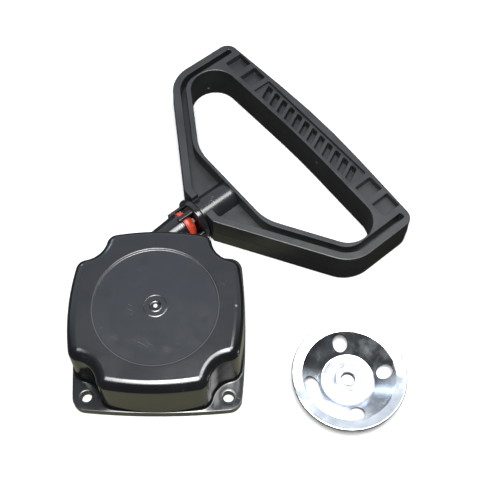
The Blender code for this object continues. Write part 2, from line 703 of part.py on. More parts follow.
def starter_cup(zinc):
    profile = [(34.2, 11.6), (34.2, 10.4), (30.4, 9.8), (28.8, 8.6), (17.8, 0.7), (16.0, 0.1),
               (4.9, 0.1), (4.9, 1.5), (15.6, 1.5), (17.0, 2.0), (27.8, 9.8), (30.0, 11.2),
               (33.8, 12.0)]
    place = Matrix.Translation(CUP_PLACE)
    dish = turned("cup_dish", [(r * MM, h * MM) for r, h in profile], 48, place, zinc)
    for i in range(4):
        x, y = rotate((CUP_HOLE_RING, 0.0), i * math.pi / 2 + CUP_HOLE_TURN)
        cut(dish, cylinder(f"cup_hole_{i + 1}", CUP_HOLE_RADIUS, -1 * MM, 14 * MM,
                           place @ Matrix.Translation((x, y, 0)), group=HELPERS, sides=20))
    turned("cup_nut", [(7.4 * MM, 4.8 * MM), (7.9 * MM, 4.2 * MM), (7.9 * MM, 1.8 * MM),
                       (4.6 * MM, 1.8 * MM), (4.6 * MM, 0.1 * MM), (4.0 * MM, 0.1 * MM),
                       (4.0 * MM, 4.8 * MM)], 28, place, zinc)


def main():
    black_nylon = material("black_nylon", (0.018, 0.019, 0.022), 0.32)
    gloss_black = material("gloss_black", (0.010, 0.011, 0.014), 0.12)
    handle_black = material("satin_handle", (0.045, 0.047, 0.050), 0.48)
    pulley_nylon = material("pulley_nylon", (0.06, 0.06, 0.062), 0.5)
    red = material("red_rubber", (0.62, 0.07, 0.03), 0.45)
    rope = material("rope", (0.62, 0.60, 0.55), 0.85)
    steel = material("steel", (0.50, 0.50, 0.50), 0.35, 1.0)
    spring_steel = material("spring_steel", (0.16, 0.17, 0.20), 0.4, 1.0)
    zinc = material("bright_zinc", (0.72, 0.75, 0.78), 0.28, 1.0)

    housing_shell(black_nylon)
    neck_parts(steel, red, gloss_black)
    centre_parts(steel, pulley_nylon)
    spring_parts(spring_steel, pulley_nylon)
    rope_pulley(pulley_nylon)
    rope_parts(rope)
    pawl_parts(steel, spring_steel)
    retainer_and_brake(steel, spring_steel)
    handle_grip(handle_black)
    handle_end_parts(rope, steel)
    starter_cup(zinc)
    for obj in PARTS.objects:
        if obj.type == "MESH":
            smooth(obj)


clear_scene()
PARTS = collection("recoil_starter")
HELPERS = collection("cutters")
main()
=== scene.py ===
import json
import math

import bmesh
import bpy
from mathutils import Matrix, Vector


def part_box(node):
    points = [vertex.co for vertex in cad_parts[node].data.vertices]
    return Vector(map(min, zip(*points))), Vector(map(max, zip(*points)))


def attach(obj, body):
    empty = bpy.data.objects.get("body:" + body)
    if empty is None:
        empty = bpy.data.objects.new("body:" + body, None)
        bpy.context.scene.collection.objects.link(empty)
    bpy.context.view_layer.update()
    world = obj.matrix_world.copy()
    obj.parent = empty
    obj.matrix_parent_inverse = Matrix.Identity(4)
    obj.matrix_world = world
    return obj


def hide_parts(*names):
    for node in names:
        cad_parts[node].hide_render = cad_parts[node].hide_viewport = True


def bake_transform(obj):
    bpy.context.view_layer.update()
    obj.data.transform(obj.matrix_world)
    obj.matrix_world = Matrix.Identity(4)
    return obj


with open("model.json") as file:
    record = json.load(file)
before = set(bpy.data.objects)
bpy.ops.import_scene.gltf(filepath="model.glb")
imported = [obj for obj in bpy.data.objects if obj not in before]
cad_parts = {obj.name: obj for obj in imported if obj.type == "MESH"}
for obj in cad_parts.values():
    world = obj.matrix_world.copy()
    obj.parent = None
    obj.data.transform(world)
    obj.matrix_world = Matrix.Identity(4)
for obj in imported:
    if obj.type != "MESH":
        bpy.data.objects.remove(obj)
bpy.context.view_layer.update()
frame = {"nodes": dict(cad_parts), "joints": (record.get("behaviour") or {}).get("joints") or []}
nodes = frame["nodes"]
joints = {j["name"]: j for j in frame["joints"]}
mm = 0.001
print("recoil starter: frame loaded,", len(nodes), "nodes")

# The rope leaves the housing along one line, through the neck and the handle's stem.
ropeDir = Vector(joints["handle_pull"]["axis"]).normalized()
ropeSide = Vector((0, 0, 1)).cross(ropeDir)
swivel = Vector(joints["handle_swivel"]["pos_m"])
ropeStart = swivel - ropeDir * swivel.dot(ropeDir)
ropeHeight = ropeStart.z / mm
handlePlace = Matrix.Translation(ropeStart) @ Matrix.Rotation(math.atan2(ropeDir.y, ropeDir.x), 4, "Z")


# local Z runs along the rope and local X points up
def ropePlace():
    up = Vector((0, 0, 1))
    turn = Matrix((up, ropeDir.cross(up), ropeDir)).transposed().to_4x4()
    return Matrix.Translation(ropeStart) @ turn


# outlines, all in millimetres

def turnPoint(point, angle):
    c, s = math.cos(angle), math.sin(angle)
    return (point[0] * c - point[1] * s, point[0] * s + point[1] * c)


def arc(centre, radius, start, end, steps):
    return [(centre[0] + radius * math.cos(start + (end - start) * i / steps),
             centre[1] + radius * math.sin(start + (end - start) * i / steps))
            for i in range(steps + 1)]


def circle(radius, steps, centre=(0.0, 0.0)):
    return arc(centre, radius, 0, math.tau, steps)[:-1]


# corners are (x, y, radius)
def rounded(corners, stepDegrees=8):
    points = []
    for i, (x, y, radius) in enumerate(corners):
        here = Vector((x, y))
        if radius == 0.0:
            points.append((x, y))
            continue
        back = (Vector(corners[i - 1][:2]) - here).normalized()
        ahead = (Vector(corners[(i + 1) % len(corners)][:2]) - here).normalized()
        half = back.angle(ahead) / 2
        centre = here + (back + ahead).normalized() * radius / math.sin(half)
        first = here + back * radius / math.tan(half) - centre
        last = here + ahead * radius / math.tan(half) - centre
        start = math.atan2(first.y, first.x)
        sweep = (math.atan2(last.y, last.x) - start + math.pi) % math.tau - math.pi
        steps = max(3, math.ceil(abs(sweep) / math.radians(stepDegrees)))
        points += arc(centre, radius, start, start + sweep, steps)
    return points


def rectangle(x0, x1, y0, y1, radius=0.8, stepDegrees=15):
    return rounded([(x0, y0, radius), (x1, y0, radius), (x1, y1, radius), (x0, y1, radius)], stepDegrees)


# moves every point of a closed loop outward
def grown(loop, amount):
    area = sum(a[0] * b[1] - b[0] * a[1] for a, b in zip(loop, loop[1:] + loop[:1]))
    side = amount if area > 0 else -amount
    moved = []
    for i, (x, y) in enumerate(loop):
        before, after = Vector(loop[i - 1]), Vector(loop[(i + 1) % len(loop)])
        along = (after - before).normalized()
        moved.append((x + along.y * side, y - along.x * side))
    return moved


def circlesMeet(a, radiusA, b, radiusB):
    gap = (b - a).length
    along = (gap * gap + radiusA ** 2 - radiusB ** 2) / (2 * gap)
    line = (b - a) / gap
    return a + line * along + Vector((line.y, -line.x)) * math.sqrt(radiusA ** 2 - along ** 2)


# meshes

def atHeight(loop, z):
    return [(x, y, z) for x, y in loop]


def loft(bm, loops):
    rows = [[bm.verts.new(p) for p in loop] for loop in loops]
    count = len(rows[0])
    for a, b in zip(rows, rows[1:]):
        for i in range(count):
            j = (i + 1) % count
            bm.faces.new((a[i], a[j], b[j], b[i]))
    return rows


# fills the flat ground between closed rows of vertices
def fillFlat(bm, rows):
    edges = []
    for row in rows:
        for i, vert in enumerate(row):
            edges.append(bm.edges.get((vert, row[i - 1])) or bm.edges.new((vert, row[i - 1])))
    bmesh.ops.triangle_fill(bm, use_beauty=True, edges=edges)


def addObject(name, bm, place=None):
    bmesh.ops.recalc_face_normals(bm, faces=bm.faces)
    bmesh.ops.scale(bm, vec=(mm, mm, mm), verts=bm.verts)
    if place is not None:
        bmesh.ops.transform(bm, matrix=place, verts=bm.verts)
    mesh = bpy.data.meshes.new(name)
    bm.to_mesh(mesh)
    bm.free()
    obj = bpy.data.objects.new(name, mesh)
    bpy.context.scene.collection.objects.link(obj)
    return obj


# a solid between loops, closed flat at both ends
def stack(name, loops, place=None):
    bm = bmesh.new()
    rows = loft(bm, loops)
    fillFlat(bm, [rows[0]])
    fillFlat(bm, [rows[-1]])
    return addObject(name, bm, place)


# profile is a closed outline of (radius, height); points on the axis have radius 0
def turned(name, profile, steps, place=None):
    bm = bmesh.new()
    rings = []
    for radius, height in profile:
        ring = [(0.0, 0.0)] if radius < 1e-6 else circle(radius, steps)
        rings.append([bm.verts.new(p) for p in atHeight(ring, height)])
    for a, b in zip(rings, rings[1:] + rings[:1]):
        if len(a) == 1 and len(b) == 1:
            continue
        for i in range(steps):
            j = (i + 1) % steps
            corners = [a[i % len(a)], a[j % len(a)], b[j % len(b)], b[i % len(b)]]
            bm.faces.new(list(dict.fromkeys(corners)))
    return addObject(name, bm, place)


def plug(name, radius, low, high, steps, place=None):
    return turned(name, [(0.0, low), (radius, low), (radius, high), (0.0, high)], steps, place)


def bakeMesh(obj):
    graph = bpy.context.evaluated_depsgraph_get()
    mesh = bpy.data.meshes.new_from_object(obj.evaluated_get(graph))
    obj.modifiers.clear()
    obj.data = mesh


def combine(body, tools, operation):
    for tool in tools:
        mod = body.modifiers.new(tool.name, "BOOLEAN")
        mod.object = tool
        mod.operation = operation
        mod.solver = "EXACT"
    bakeMesh(body)
    for tool in tools:
        bpy.data.objects.remove(tool, do_unlink=True)


# a cutter whose mouth is rounded out by flare, from floor up to top
def flaredCutter(name, outline, floor, top, flare=0.5, place=None):
    side = math.copysign(1, top - floor)
    loops = [atHeight(outline, floor), atHeight(outline, top - side * flare)]
    for degrees in (20, 40, 60):
        a = math.radians(degrees)
        loops.append(atHeight(grown(outline, flare * (1 - math.cos(a))),
                              top - side * flare * (1 - math.sin(a))))
    loops.append(atHeight(grown(outline, flare * 1.4), top + side * 0.2))
    return stack(name, loops, place)


def shade(obj, degrees=32):
    obj.data.shade_smooth()
    obj.data.set_sharp_from_angle(angle=math.radians(degrees))
    mod = obj.modifiers.new("even_normals", "WEIGHTED_NORMAL")
    mod.keep_sharp = True
    mod.weight = 60


def finishPiece(obj, body, mat, slot, *cadNodes):
    obj.data.materials.clear()
    obj.data.materials.append(mat)
    if obj.type == "MESH":
        shade(obj)
    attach(obj, body)
    if cadNodes:
        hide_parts(*cadNodes)
    return obj


# material building

def addNode(tree, kind, inputs=None, **fields):
    made = tree.nodes.new(kind)
    for key, value in fields.items():
        setattr(made, key, value)
    for key, value in (inputs or {}).items():
        if isinstance(value, bpy.types.NodeSocket):
            tree.links.new(value, made.inputs[key])
        else:
            made.inputs[key].default_value = value
    return made


def calc(tree, operation, a, b=0.0, c=0.0, clamp=False):
    inputs = {0: a, 1: b}
    if operation in ("MULTIPLY_ADD", "WRAP"):
        inputs[2] = c
    return addNode(tree, "ShaderNodeMath", inputs, operation=operation, use_clamp=clamp).outputs[0]


def vectorCalc(tree, operation, a, b=(0.0, 0.0, 0.0)):
    made = addNode(tree, "ShaderNodeVectorMath", {0: a, 1: b}, operation=operation)
    return made.outputs["Value" if operation in ("DOT_PRODUCT", "LENGTH") else "Vector"]


def split(tree, vector):
    return addNode(tree, "ShaderNodeSeparateXYZ", {0: vector}).outputs


def diagonal(tree, x, y):
    return calc(tree, "SQRT", calc(tree, "ADD", calc(tree, "MULTIPLY", x, x), calc(tree, "MULTIPLY", y, y)))


def remap(tree, value, low, high, to=(0.0, 1.0)):
    made = addNode(tree, "ShaderNodeMapRange", {"Value": value, "From Min": low, "From Max": high,
                                                "To Min": to[0], "To Max": to[1]},
                   interpolation_type="SMOOTHSTEP")
    return made.outputs[0]


def mixColour(tree, share, a, b):
    made = addNode(tree, "ShaderNodeMix", {0: share, 6: a, 7: b}, data_type="RGBA")
    return made.outputs[2]


# lays a paint over a colour, as far as a mask and a share say
def overlay(tree, colour, mask, share, paint):
    return mixColour(tree, calc(tree, "MULTIPLY", mask, share), colour, (*paint, 1))


def noise(tree, where, scale, detail=3.0, distortion=0.0):
    made = addNode(tree, "ShaderNodeTexNoise", {"Vector": where, "Scale": scale, "Detail": detail,
                                                "Distortion": distortion})
    return made.outputs["Fac"]


def nodeGroup(name, inputs, outputs):
    group = bpy.data.node_groups.new(name, "ShaderNodeTree")
    for label, value in inputs.items():
        socket = group.interface.new_socket(label, in_out="INPUT", socket_type="NodeSocketFloat")
        socket.default_value = value
    for label in outputs:
        group.interface.new_socket(label, in_out="OUTPUT", socket_type="NodeSocketFloat")
    start = group.nodes.new("NodeGroupInput").outputs
    end = group.nodes.new("NodeGroupOutput").inputs
    where = group.nodes.new("ShaderNodeTexCoord").outputs["Object"]
    return group, start, end, where


# fine moulded or ground texture, as a height
def grainGroup():
    group, start, end, where = nodeGroup("fineGrain", {"Scale": 900.0, "Waviness": 0.3}, ["Height"])
    fine = noise(group, where, start["Scale"], 4.0)
    broad = noise(group, where, calc(group, "MULTIPLY", start["Scale"], 0.06), 2.0)
    mixed = calc(group, "MULTIPLY_ADD", broad, start["Waviness"], calc(group, "MULTIPLY", fine, 0.25))
    group.links.new(mixed, end["Height"])
    return group


# rubbed edges, from the difference between the true and the rounded normal
def edgeGroup():
    group, start, end, where = nodeGroup("rubbedEdge", {"Width": 0.0006, "Breakup": 260.0}, ["Mask"])
    soft = addNode(group, "ShaderNodeBevel", {"Radius": start["Width"]}, samples=4)
    true = addNode(group, "ShaderNodeNewGeometry")
    same = vectorCalc(group, "DOT_PRODUCT", soft.outputs[0], true.outputs["Normal"])
    edge = remap(group, same, 0.985, 0.86)
    patchy = remap(group, noise(group, where, start["Breakup"], 5.0), 0.38, 0.62)
    group.links.new(calc(group, "MULTIPLY", edge, patchy), end["Mask"])
    return group


# hair scratches in two directions, in patches
def scratchGroup():
    group, start, end, where = nodeGroup("hairScratches", {"Length": 60.0, "Fineness": 1800.0,
                                                           "Spread": 0.55}, ["Mask"])
    total = None
    for turn in (0.5, 2.2):
        laid = addNode(group, "ShaderNodeMapping", {"Vector": where, "Rotation": (0.0, 0.0, turn)})
        parts = split(group, laid.outputs[0])
        bent = calc(group, "MULTIPLY", noise(group, where, 35.0, 1.0), 0.004)
        line = addNode(group, "ShaderNodeCombineXYZ", {
            "X": calc(group, "MULTIPLY", parts["X"], start["Length"]),
            "Y": calc(group, "MULTIPLY", calc(group, "ADD", parts["Y"], bent), start["Fineness"]),
            "Z": calc(group, "MULTIPLY", parts["Z"], start["Length"])})
        streak = remap(group, noise(group, line.outputs[0], 1.0, 1.0), 0.68, 0.76)
        total = streak if total is None else calc(group, "MAXIMUM", total, streak)
    patchy = noise(group, where, 48.0, 3.0)
    kept = remap(group, patchy, start["Spread"], calc(group, "ADD", start["Spread"], 0.12))
    group.links.new(calc(group, "MULTIPLY", total, kept), end["Mask"])
    return group


# a few small pale specks
def speckGroup():
    group, start, end, where = nodeGroup("specks", {"Scale": 160.0, "Size": 0.16, "Rarity": 0.9}, ["Mask"])
    cells = addNode(group, "ShaderNodeTexVoronoi", {"Vector": where, "Scale": start["Scale"]})
    near = remap(group, cells.outputs["Distance"], start["Size"],
                 calc(group, "MULTIPLY", start["Size"], 0.55))
    pick = addNode(group, "ShaderNodeSeparateColor", {0: cells.outputs["Color"]}).outputs[0]
    chosen = calc(group, "GREATER_THAN", pick, start["Rarity"])
    group.links.new(calc(group, "MULTIPLY", near, chosen), end["Mask"])
    return group


fineGrain, rubbedEdge, hairScratches, specks = grainGroup(), edgeGroup(), scratchGroup(), speckGroup()


def useGroup(tree, group, **values):
    made = addNode(tree, "ShaderNodeGroup", node_tree=group)
    for label, value in values.items():
        made.inputs[label].default_value = value
    return made.outputs[0]


def newMaterial(name, metallic=0.0):
    mat = bpy.data.materials.new(name)
    mat.use_nodes = True
    tree = mat.node_tree
    shader = tree.nodes["Principled BSDF"]
    shader.inputs["Metallic"].default_value = metallic
    where = tree.nodes.new("ShaderNodeTexCoord").outputs["Object"]
    return mat, tree, shader, where


def bumpTo(tree, shader, height, distance, strength=1.0):
    bump = addNode(tree, "ShaderNodeBump", {"Height": height, "Distance": distance, "Strength": strength})
    tree.links.new(bump.outputs[0], shader.inputs["Normal"])


dustColour = (0.45, 0.45, 0.43)


# moulded plastic and rubber share one build with their own values
def mouldedMaterial(name, look):
    mat, tree, shader, where = newMaterial(name)
    cloud = noise(tree, where, look.get("cloudScale", 28.0), 3.0, 0.3)
    colour = mixColour(tree, remap(tree, cloud, 0.3, 0.7), (*look["dark"], 1), (*look["light"], 1))
    wear = useGroup(tree, rubbedEdge, Width=look.get("edgeWidth", 0.0006))
    colour = overlay(tree, colour, wear, look.get("edgeShare", 0.3), look["worn"])
    scratches = useGroup(tree, hairScratches, Spread=look.get("scratchSpread", 0.56))
    colour = overlay(tree, colour, scratches, look.get("scratchShare", 0.25), look["worn"])
    dust = useGroup(tree, specks, Scale=look.get("speckScale", 150.0), Rarity=look.get("speckRarity", 0.95))
    colour = overlay(tree, colour, dust, look.get("speckShare", 0.3), dustColour)
    tree.links.new(colour, shader.inputs["Base Color"])
    shader.inputs["Specular IOR Level"].default_value = look.get("shine", 0.5)
    smear = noise(tree, where, look.get("smearScale", 55.0), 4.0, 0.8)
    rough = remap(tree, smear, 0.25, 0.75, look["rough"])
    rough = calc(tree, "MULTIPLY_ADD", scratches, 0.12, rough)
    tree.links.new(rough, shader.inputs["Roughness"])
    height = useGroup(tree, fineGrain, Scale=look.get("grainScale", 900.0), Waviness=look.get("wavy", 0.3))
    height = calc(tree, "MULTIPLY_ADD", scratches, -0.4, height)
    bumpTo(tree, shader, height, look["grainDepth"])
    return mat, tree, shader, where


def metalMaterial(name, look):
    mat, tree, shader, where = newMaterial(name, 1.0)
    cloud = noise(tree, where, look.get("cloudScale", 45.0), 3.0, 0.6)
    colour = mixColour(tree, remap(tree, cloud, 0.32, 0.68), (*look["dark"], 1), (*look["light"], 1))
    tint = noise(tree, where, look.get("tintScale", 22.0), 2.0, 1.2)
    colour = mixColour(tree, remap(tree, tint, 0.45, 0.75, (0.0, look.get("tintShare", 0.5))), colour,
                       (*look["tint"], 1))
    scratches = useGroup(tree, hairScratches, Length=90.0, Spread=look.get("scratchSpread", 0.5))
    tree.links.new(colour, shader.inputs["Base Color"])
    rough = remap(tree, noise(tree, where, 120.0, 5.0), 0.3, 0.7, look["rough"])
    tree.links.new(calc(tree, "MULTIPLY_ADD", scratches, 0.15, rough), shader.inputs["Roughness"])
    height = useGroup(tree, fineGrain, Scale=look.get("grainScale", 1400.0), Waviness=look.get("wavy", 0.15))
    bumpTo(tree, shader, calc(tree, "MULTIPLY_ADD", scratches, -0.3, height), look["grainDepth"])
    return mat


# the flat top shows six sink marks over the ribs inside, and is duller than the rounded rim; the top's bluish
# tint and its lighter inner disc are painted sheen, the pale ring line is a painted highlight, and the sink
# marks are painted darker as shade
nylonLook = {
    "dark": (0.0034, 0.0037, 0.0043), "light": (0.0052, 0.0056, 0.0066), "worn": (0.050, 0.053, 0.057),
    "rough": (0.11, 0.17), "grainDepth": 0.00005, "grainScale": 700.0, "edgeShare": 0.2,
    "scratchShare": 0.4, "speckShare": 0.5, "speckRarity": 0.965,
    # painted sheen: the flat top is tinted lighter and bluer
    "topRough": 0.06, "topSheenColour": (0.0045, 0.0050, 0.0062), "topSheenShare": 0.6,
    # painted sheen: the inner disc is painted lighter and bluer than the rest of the top
    "discRadius": 0.0362, "discSheenColour": (0.0090, 0.0100, 0.0122), "discSheenShare": 0.7,
    # painted highlight: a pale thin ring line at the ring step
    "line": 0.0368, "ringHighlightColour": (0.036, 0.038, 0.042), "ringHighlightShare": 0.7,
    "sinkRing": 0.0302, "sinkTurn": math.radians(46), "sinkRadius": 0.0055,
    # painted shade: the sink marks are painted darker
    "sinkShadeColour": (0.0030, 0.0032, 0.0040), "sinkShadeShare": 0.85, "sinkRough": 0.06, "sinkDepth": 2.0,
}


def housingMaterial(topHeight):
    look = nylonLook
    mat, tree, shader, where = mouldedMaterial("blackNylon", look)
    parts = split(tree, where)
    onTop = remap(tree, parts["Z"], topHeight - 0.0010, topHeight - 0.0006)
    far = diagonal(tree, parts["X"], parts["Y"])
    disc = remap(tree, far, look["discRadius"] + 0.0004, look["discRadius"] - 0.0004)
    line = remap(tree, calc(tree, "ABSOLUTE", calc(tree, "SUBTRACT", far, look["line"])), 0.00035, 0.0001)

    # folding the angle into one sixth of a turn repeats one sink mark six times
    angle = calc(tree, "ARCTAN2", parts["Y"], parts["X"])
    folded = calc(tree, "WRAP", calc(tree, "SUBTRACT", angle, look["sinkTurn"]), math.pi / 6, -math.pi / 6)
    across = calc(tree, "MULTIPLY", calc(tree, "SINE", folded), far)
    along = calc(tree, "MULTIPLY", calc(tree, "COSINE", folded), far)
    away = diagonal(tree, across, calc(tree, "SUBTRACT", along, look["sinkRing"]))
    blurred = calc(tree, "MULTIPLY_ADD", noise(tree, where, 160.0, 3.0), 0.004, away)
    sink = calc(tree, "MULTIPLY", remap(tree, blurred, look["sinkRadius"] + 0.002, 0.001), onTop)

    rough = shader.inputs["Roughness"].links[0].from_socket
    rough = calc(tree, "MULTIPLY_ADD", onTop, look["topRough"], rough)
    rough = calc(tree, "MULTIPLY_ADD", sink, look["sinkRough"], rough)
    tree.links.new(rough, shader.inputs["Roughness"])
    colour = shader.inputs["Base Color"].links[0].from_socket
    # painted sheen: tints the flat top lighter and bluer
    colour = overlay(tree, colour, onTop, look["topSheenShare"], look["topSheenColour"])
    # painted sheen: the inner disc inside the ring lines is painted lighter still
    colour = overlay(tree, colour, calc(tree, "MULTIPLY", disc, onTop), look["discSheenShare"], look["discSheenColour"])
    # painted shade: darkens the six sink marks
    colour = overlay(tree, colour, sink, look["sinkShadeShare"], look["sinkShadeColour"])
    # painted highlight: lays a pale thin ring line on the top at the ring step
    colour = overlay(tree, colour, calc(tree, "MULTIPLY", line, onTop), look["ringHighlightShare"], look["ringHighlightColour"])
    tree.links.new(colour, shader.inputs["Base Color"])
    bump = shader.inputs["Normal"].links[0].from_node
    grain = bump.inputs["Height"].links[0].from_socket
    tree.links.new(calc(tree, "MULTIPLY_ADD", sink, -look["sinkDepth"], grain), bump.inputs["Height"])
    return mat


handleLook = {
    "dark": (0.0048, 0.0053, 0.0060), "light": (0.0070, 0.0076, 0.0085), "worn": (0.05, 0.05, 0.05),
    "rough": (0.34, 0.46), "shine": 0.5, "grainDepth": 0.00007, "grainScale": 1100.0, "edgeShare": 0.4,
    "edgeWidth": 0.0005, "scratchShare": 0.4, "scratchSpread": 0.55, "speckShare": 0.25,
    "stemRough": 0.16, "stemRadius": 0.0108, "stemReach": 0.0955,
}
cageLook = {
    "dark": (0.0035, 0.0035, 0.0045), "light": (0.0055, 0.0055, 0.0070), "worn": (0.06, 0.06, 0.065),
    "rough": (0.10, 0.17), "grainDepth": 0.00002, "edgeShare": 0.3, "scratchShare": 0.2,
}
pulleyLook = {
    "dark": (0.020, 0.020, 0.021), "light": (0.034, 0.034, 0.035), "worn": (0.14, 0.14, 0.135),
    "rough": (0.38, 0.55), "grainDepth": 0.00010, "edgeShare": 0.35, "scratchShare": 0.5,
}
urethaneLook = {
    "dark": (0.20, 0.016, 0.006), "light": (0.30, 0.028, 0.009), "worn": (0.42, 0.11, 0.06),
    "rough": (0.30, 0.48), "grainDepth": 0.00006, "cloudScale": 160.0, "edgeShare": 0.35,
    "scratchShare": 0.15, "speckShare": 0.6, "speckScale": 420.0, "speckRarity": 0.86,
}
zincLook = {
    "dark": (0.48, 0.51, 0.54), "light": (0.66, 0.68, 0.70), "tint": (0.52, 0.61, 0.72),
    "rough": (0.16, 0.28), "grainDepth": 0.000035, "tintShare": 0.18, "tintScale": 26.0, "wavy": 0.35,
}
nutLook = {
    "dark": (0.30, 0.31, 0.36), "light": (0.39, 0.40, 0.45), "tint": (0.50, 0.52, 0.66),
    "rough": (0.26, 0.40), "grainDepth": 0.00004, "tintShare": 0.4,
}
steelLook = {
    "dark": (0.42, 0.41, 0.39), "light": (0.62, 0.61, 0.59), "tint": (0.60, 0.55, 0.42),
    "rough": (0.24, 0.42), "grainDepth": 0.00005,
}
springLook = {
    "dark": (0.11, 0.12, 0.15), "light": (0.20, 0.21, 0.25), "tint": (0.16, 0.15, 0.22),
    "rough": (0.28, 0.42), "grainDepth": 0.00003,
}

# braided cover of the rope: two sets of yarns crossing round it; the valleys between the yarns are painted
# darker as shade
ropeLook = {"yarn": (0.36, 0.34, 0.31), "gap": (0.10, 0.09, 0.075), "fleck": (0.22, 0.23, 0.26),
            "rough": 0.85, "pitch": 0.0052, "bump": 0.0004}


def ropeMaterial():
    look = ropeLook
    mat, tree, shader, where = newMaterial("braidedRope")
    along = vectorCalc(tree, "DOT_PRODUCT", where, ropeDir)
    side = vectorCalc(tree, "DOT_PRODUCT", where, ropeSide)
    side = calc(tree, "SUBTRACT", side, ropeStart.dot(ropeSide))
    height = calc(tree, "SUBTRACT", split(tree, where)["Z"], ropeStart.z)
    around = calc(tree, "MULTIPLY", calc(tree, "ARCTAN2", height, side), 4.0)
    travel = calc(tree, "MULTIPLY", along, math.tau / look["pitch"])
    yarns = None
    for way in (1.0, -1.0):
        wave = calc(tree, "COSINE", calc(tree, "MULTIPLY_ADD", travel, way, around))
        yarns = wave if yarns is None else calc(tree, "MAXIMUM", yarns, wave)
    fuzz = noise(tree, where, 2600.0, 4.0)
    tall = calc(tree, "MULTIPLY_ADD", fuzz, 0.35, remap(tree, yarns, -0.2, 1.0))
    # painted shade: the low valleys of the braid take the darker gap colour
    colour = mixColour(tree, remap(tree, tall, 0.1, 0.7), (*look["gap"], 1), (*look["yarn"], 1))
    fleck = useGroup(tree, specks, Scale=700.0, Rarity=0.9, Size=0.35)
    colour = overlay(tree, colour, fleck, 0.5, look["fleck"])
    tree.links.new(colour, shader.inputs["Base Color"])
    tree.links.new(remap(tree, fuzz, 0.2, 0.8, (look["rough"] - 0.1, look["rough"] + 0.1)),
                   shader.inputs["Roughness"])
    bumpTo(tree, shader, tall, look["bump"])
    return mat


# the handle's stem comes out of the mould glossier than the rest
def handleMaterial():
    look = handleLook
    mat, tree, shader, where = mouldedMaterial("satinHandle", look)
    away = vectorCalc(tree, "SUBTRACT", where, ropeStart)
    along = vectorCalc(tree, "DOT_PRODUCT", away, ropeDir)
    far = vectorCalc(tree, "LENGTH", away)
    square = calc(tree, "SUBTRACT", calc(tree, "MULTIPLY", far, far), calc(tree, "MULTIPLY", along, along))
    near = remap(tree, calc(tree, "SQRT", calc(tree, "MAXIMUM", square, 0.0)),
                 look["stemRadius"], look["stemRadius"] - 0.0003)
    near = calc(tree, "MULTIPLY", near, calc(tree, "LESS_THAN", along, look["stemReach"]))
    rough = shader.inputs["Roughness"].links[0].from_socket
    tree.links.new(calc(tree, "MULTIPLY_ADD", near, -look["stemRough"], rough), shader.inputs["Roughness"])
    return mat


shellLow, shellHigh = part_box("housing_shell")
blackNylon = housingMaterial(shellHigh.z)
satinHandle = handleMaterial()
glossBlack = mouldedMaterial("glossBlack", cageLook)[0]
pulleyNylon = mouldedMaterial("pulleyNylon", pulleyLook)[0]
redUrethane = mouldedMaterial("redUrethane", urethaneLook)[0]
brightZinc = metalMaterial("brightZinc", zincLook)
nutZinc = metalMaterial("nutZinc", nutLook)
platedSteel = metalMaterial("platedSteel", steelLook)
springSteel = metalMaterial("springSteel", springLook)
braidedRope = ropeMaterial()
print("materials ready")


# housing: four bowed walls, a round notch at each ear, an open mouth below and the rope neck

housing = {
    "half": 51.8, "sideRadius": 150.0, "lobeRadius": 7.5, "notchCentre": 46.5, "notchRadius": 14.5,
    "edge": 6.5, "wall": 2.5, "draft": 0.4, "flangeThick": 6.5, "flangeEdge": 0.3, "fillet": 1.3,
    "earHole": 42.0, "earHoleRadius": 3.3, "earRadius": 8.2, "earRim": 5.3, "earRimHeight": 0.22,
    "ringLines": (37.4, 36.2), "ringWidth": 0.6, "ringStep": 0.13,
    "hubRing": 6.65, "hubBead": [(0.8, 0.0), (0.5, 0.04), (0.2, 0.16), (0.0, 0.18), (-0.2, 0.14),
                                 (-0.5, -0.06)],
    "hubDimple": 3.2, "dimpleLip": [(0.9, -0.06), (0.6, -0.02), (0.4, 0.1), (0.2, 0.1)], "dimpleDepth": 1.1,
    "wellRadius": 47.6, "wellTop": 39.5, "wellInner": 12.0,
    "postRadius": 7.0, "postLow": 6.0, "postBore": 2.6, "tipBore": 1.8, "tipDepth": 2.8,
    "neckEnd": 52.5, "neckStart": 10.0, "neckRadius": 10.8, "neckRoot": 7.6, "neckBore": 6.0,
    "mouthRadius": 8.9, "mouthDepth": 1.5,
}
housing["top"] = shellHigh.z / mm
housing["flangeHalf"] = -shellLow.x / mm


def domeOutline(inset=0.0):
    s = housing
    side = Vector((s["half"] - s["sideRadius"], 0.0))
    notch = Vector((s["notchCentre"], s["notchCentre"]))
    lobe = circlesMeet(side, s["sideRadius"] - s["lobeRadius"], notch, s["notchRadius"] + s["lobeRadius"])
    sideEnd = math.atan2(lobe.y - side.y, lobe.x - side.x)
    toNotch = math.atan2(notch.y - lobe.y, notch.x - lobe.x)
    low = toNotch - math.pi
    quarter = arc(side, s["sideRadius"] - inset, -sideEnd, sideEnd, 18)
    quarter += arc(lobe, s["lobeRadius"] - inset, sideEnd, toNotch, 12)[1:]
    quarter += arc(notch, s["notchRadius"] + inset, low, -math.pi * 1.5 - low, 18)[1:]
    quarter += arc((lobe.y, lobe.x), s["lobeRadius"] - inset, math.pi / 2 - toNotch,
                   math.pi / 2 - sideEnd, 12)[1:-1]
    return [turnPoint(p, k * math.pi / 2) for k in range(4) for p in quarter]


def flangeOutline(inset=0.0):
    s = housing
    reach = s["flangeHalf"] - s["earHole"]
    bow = (s["earHole"] ** 2 + reach ** 2 - s["earRadius"] ** 2) / (2 * (reach - s["earRadius"]))
    side = (s["flangeHalf"] - bow, 0.0)
    sideEnd = math.atan2(s["earHole"], s["earHole"] - side[0])
    quarter = arc(side, bow - inset, -sideEnd, sideEnd, 24)
    quarter += arc((s["earHole"],) * 2, s["earRadius"] - inset, sideEnd, math.pi / 2 - sideEnd, 16)[1:-1]
    return [turnPoint(p, k * math.pi / 2) for k in range(4) for p in quarter]


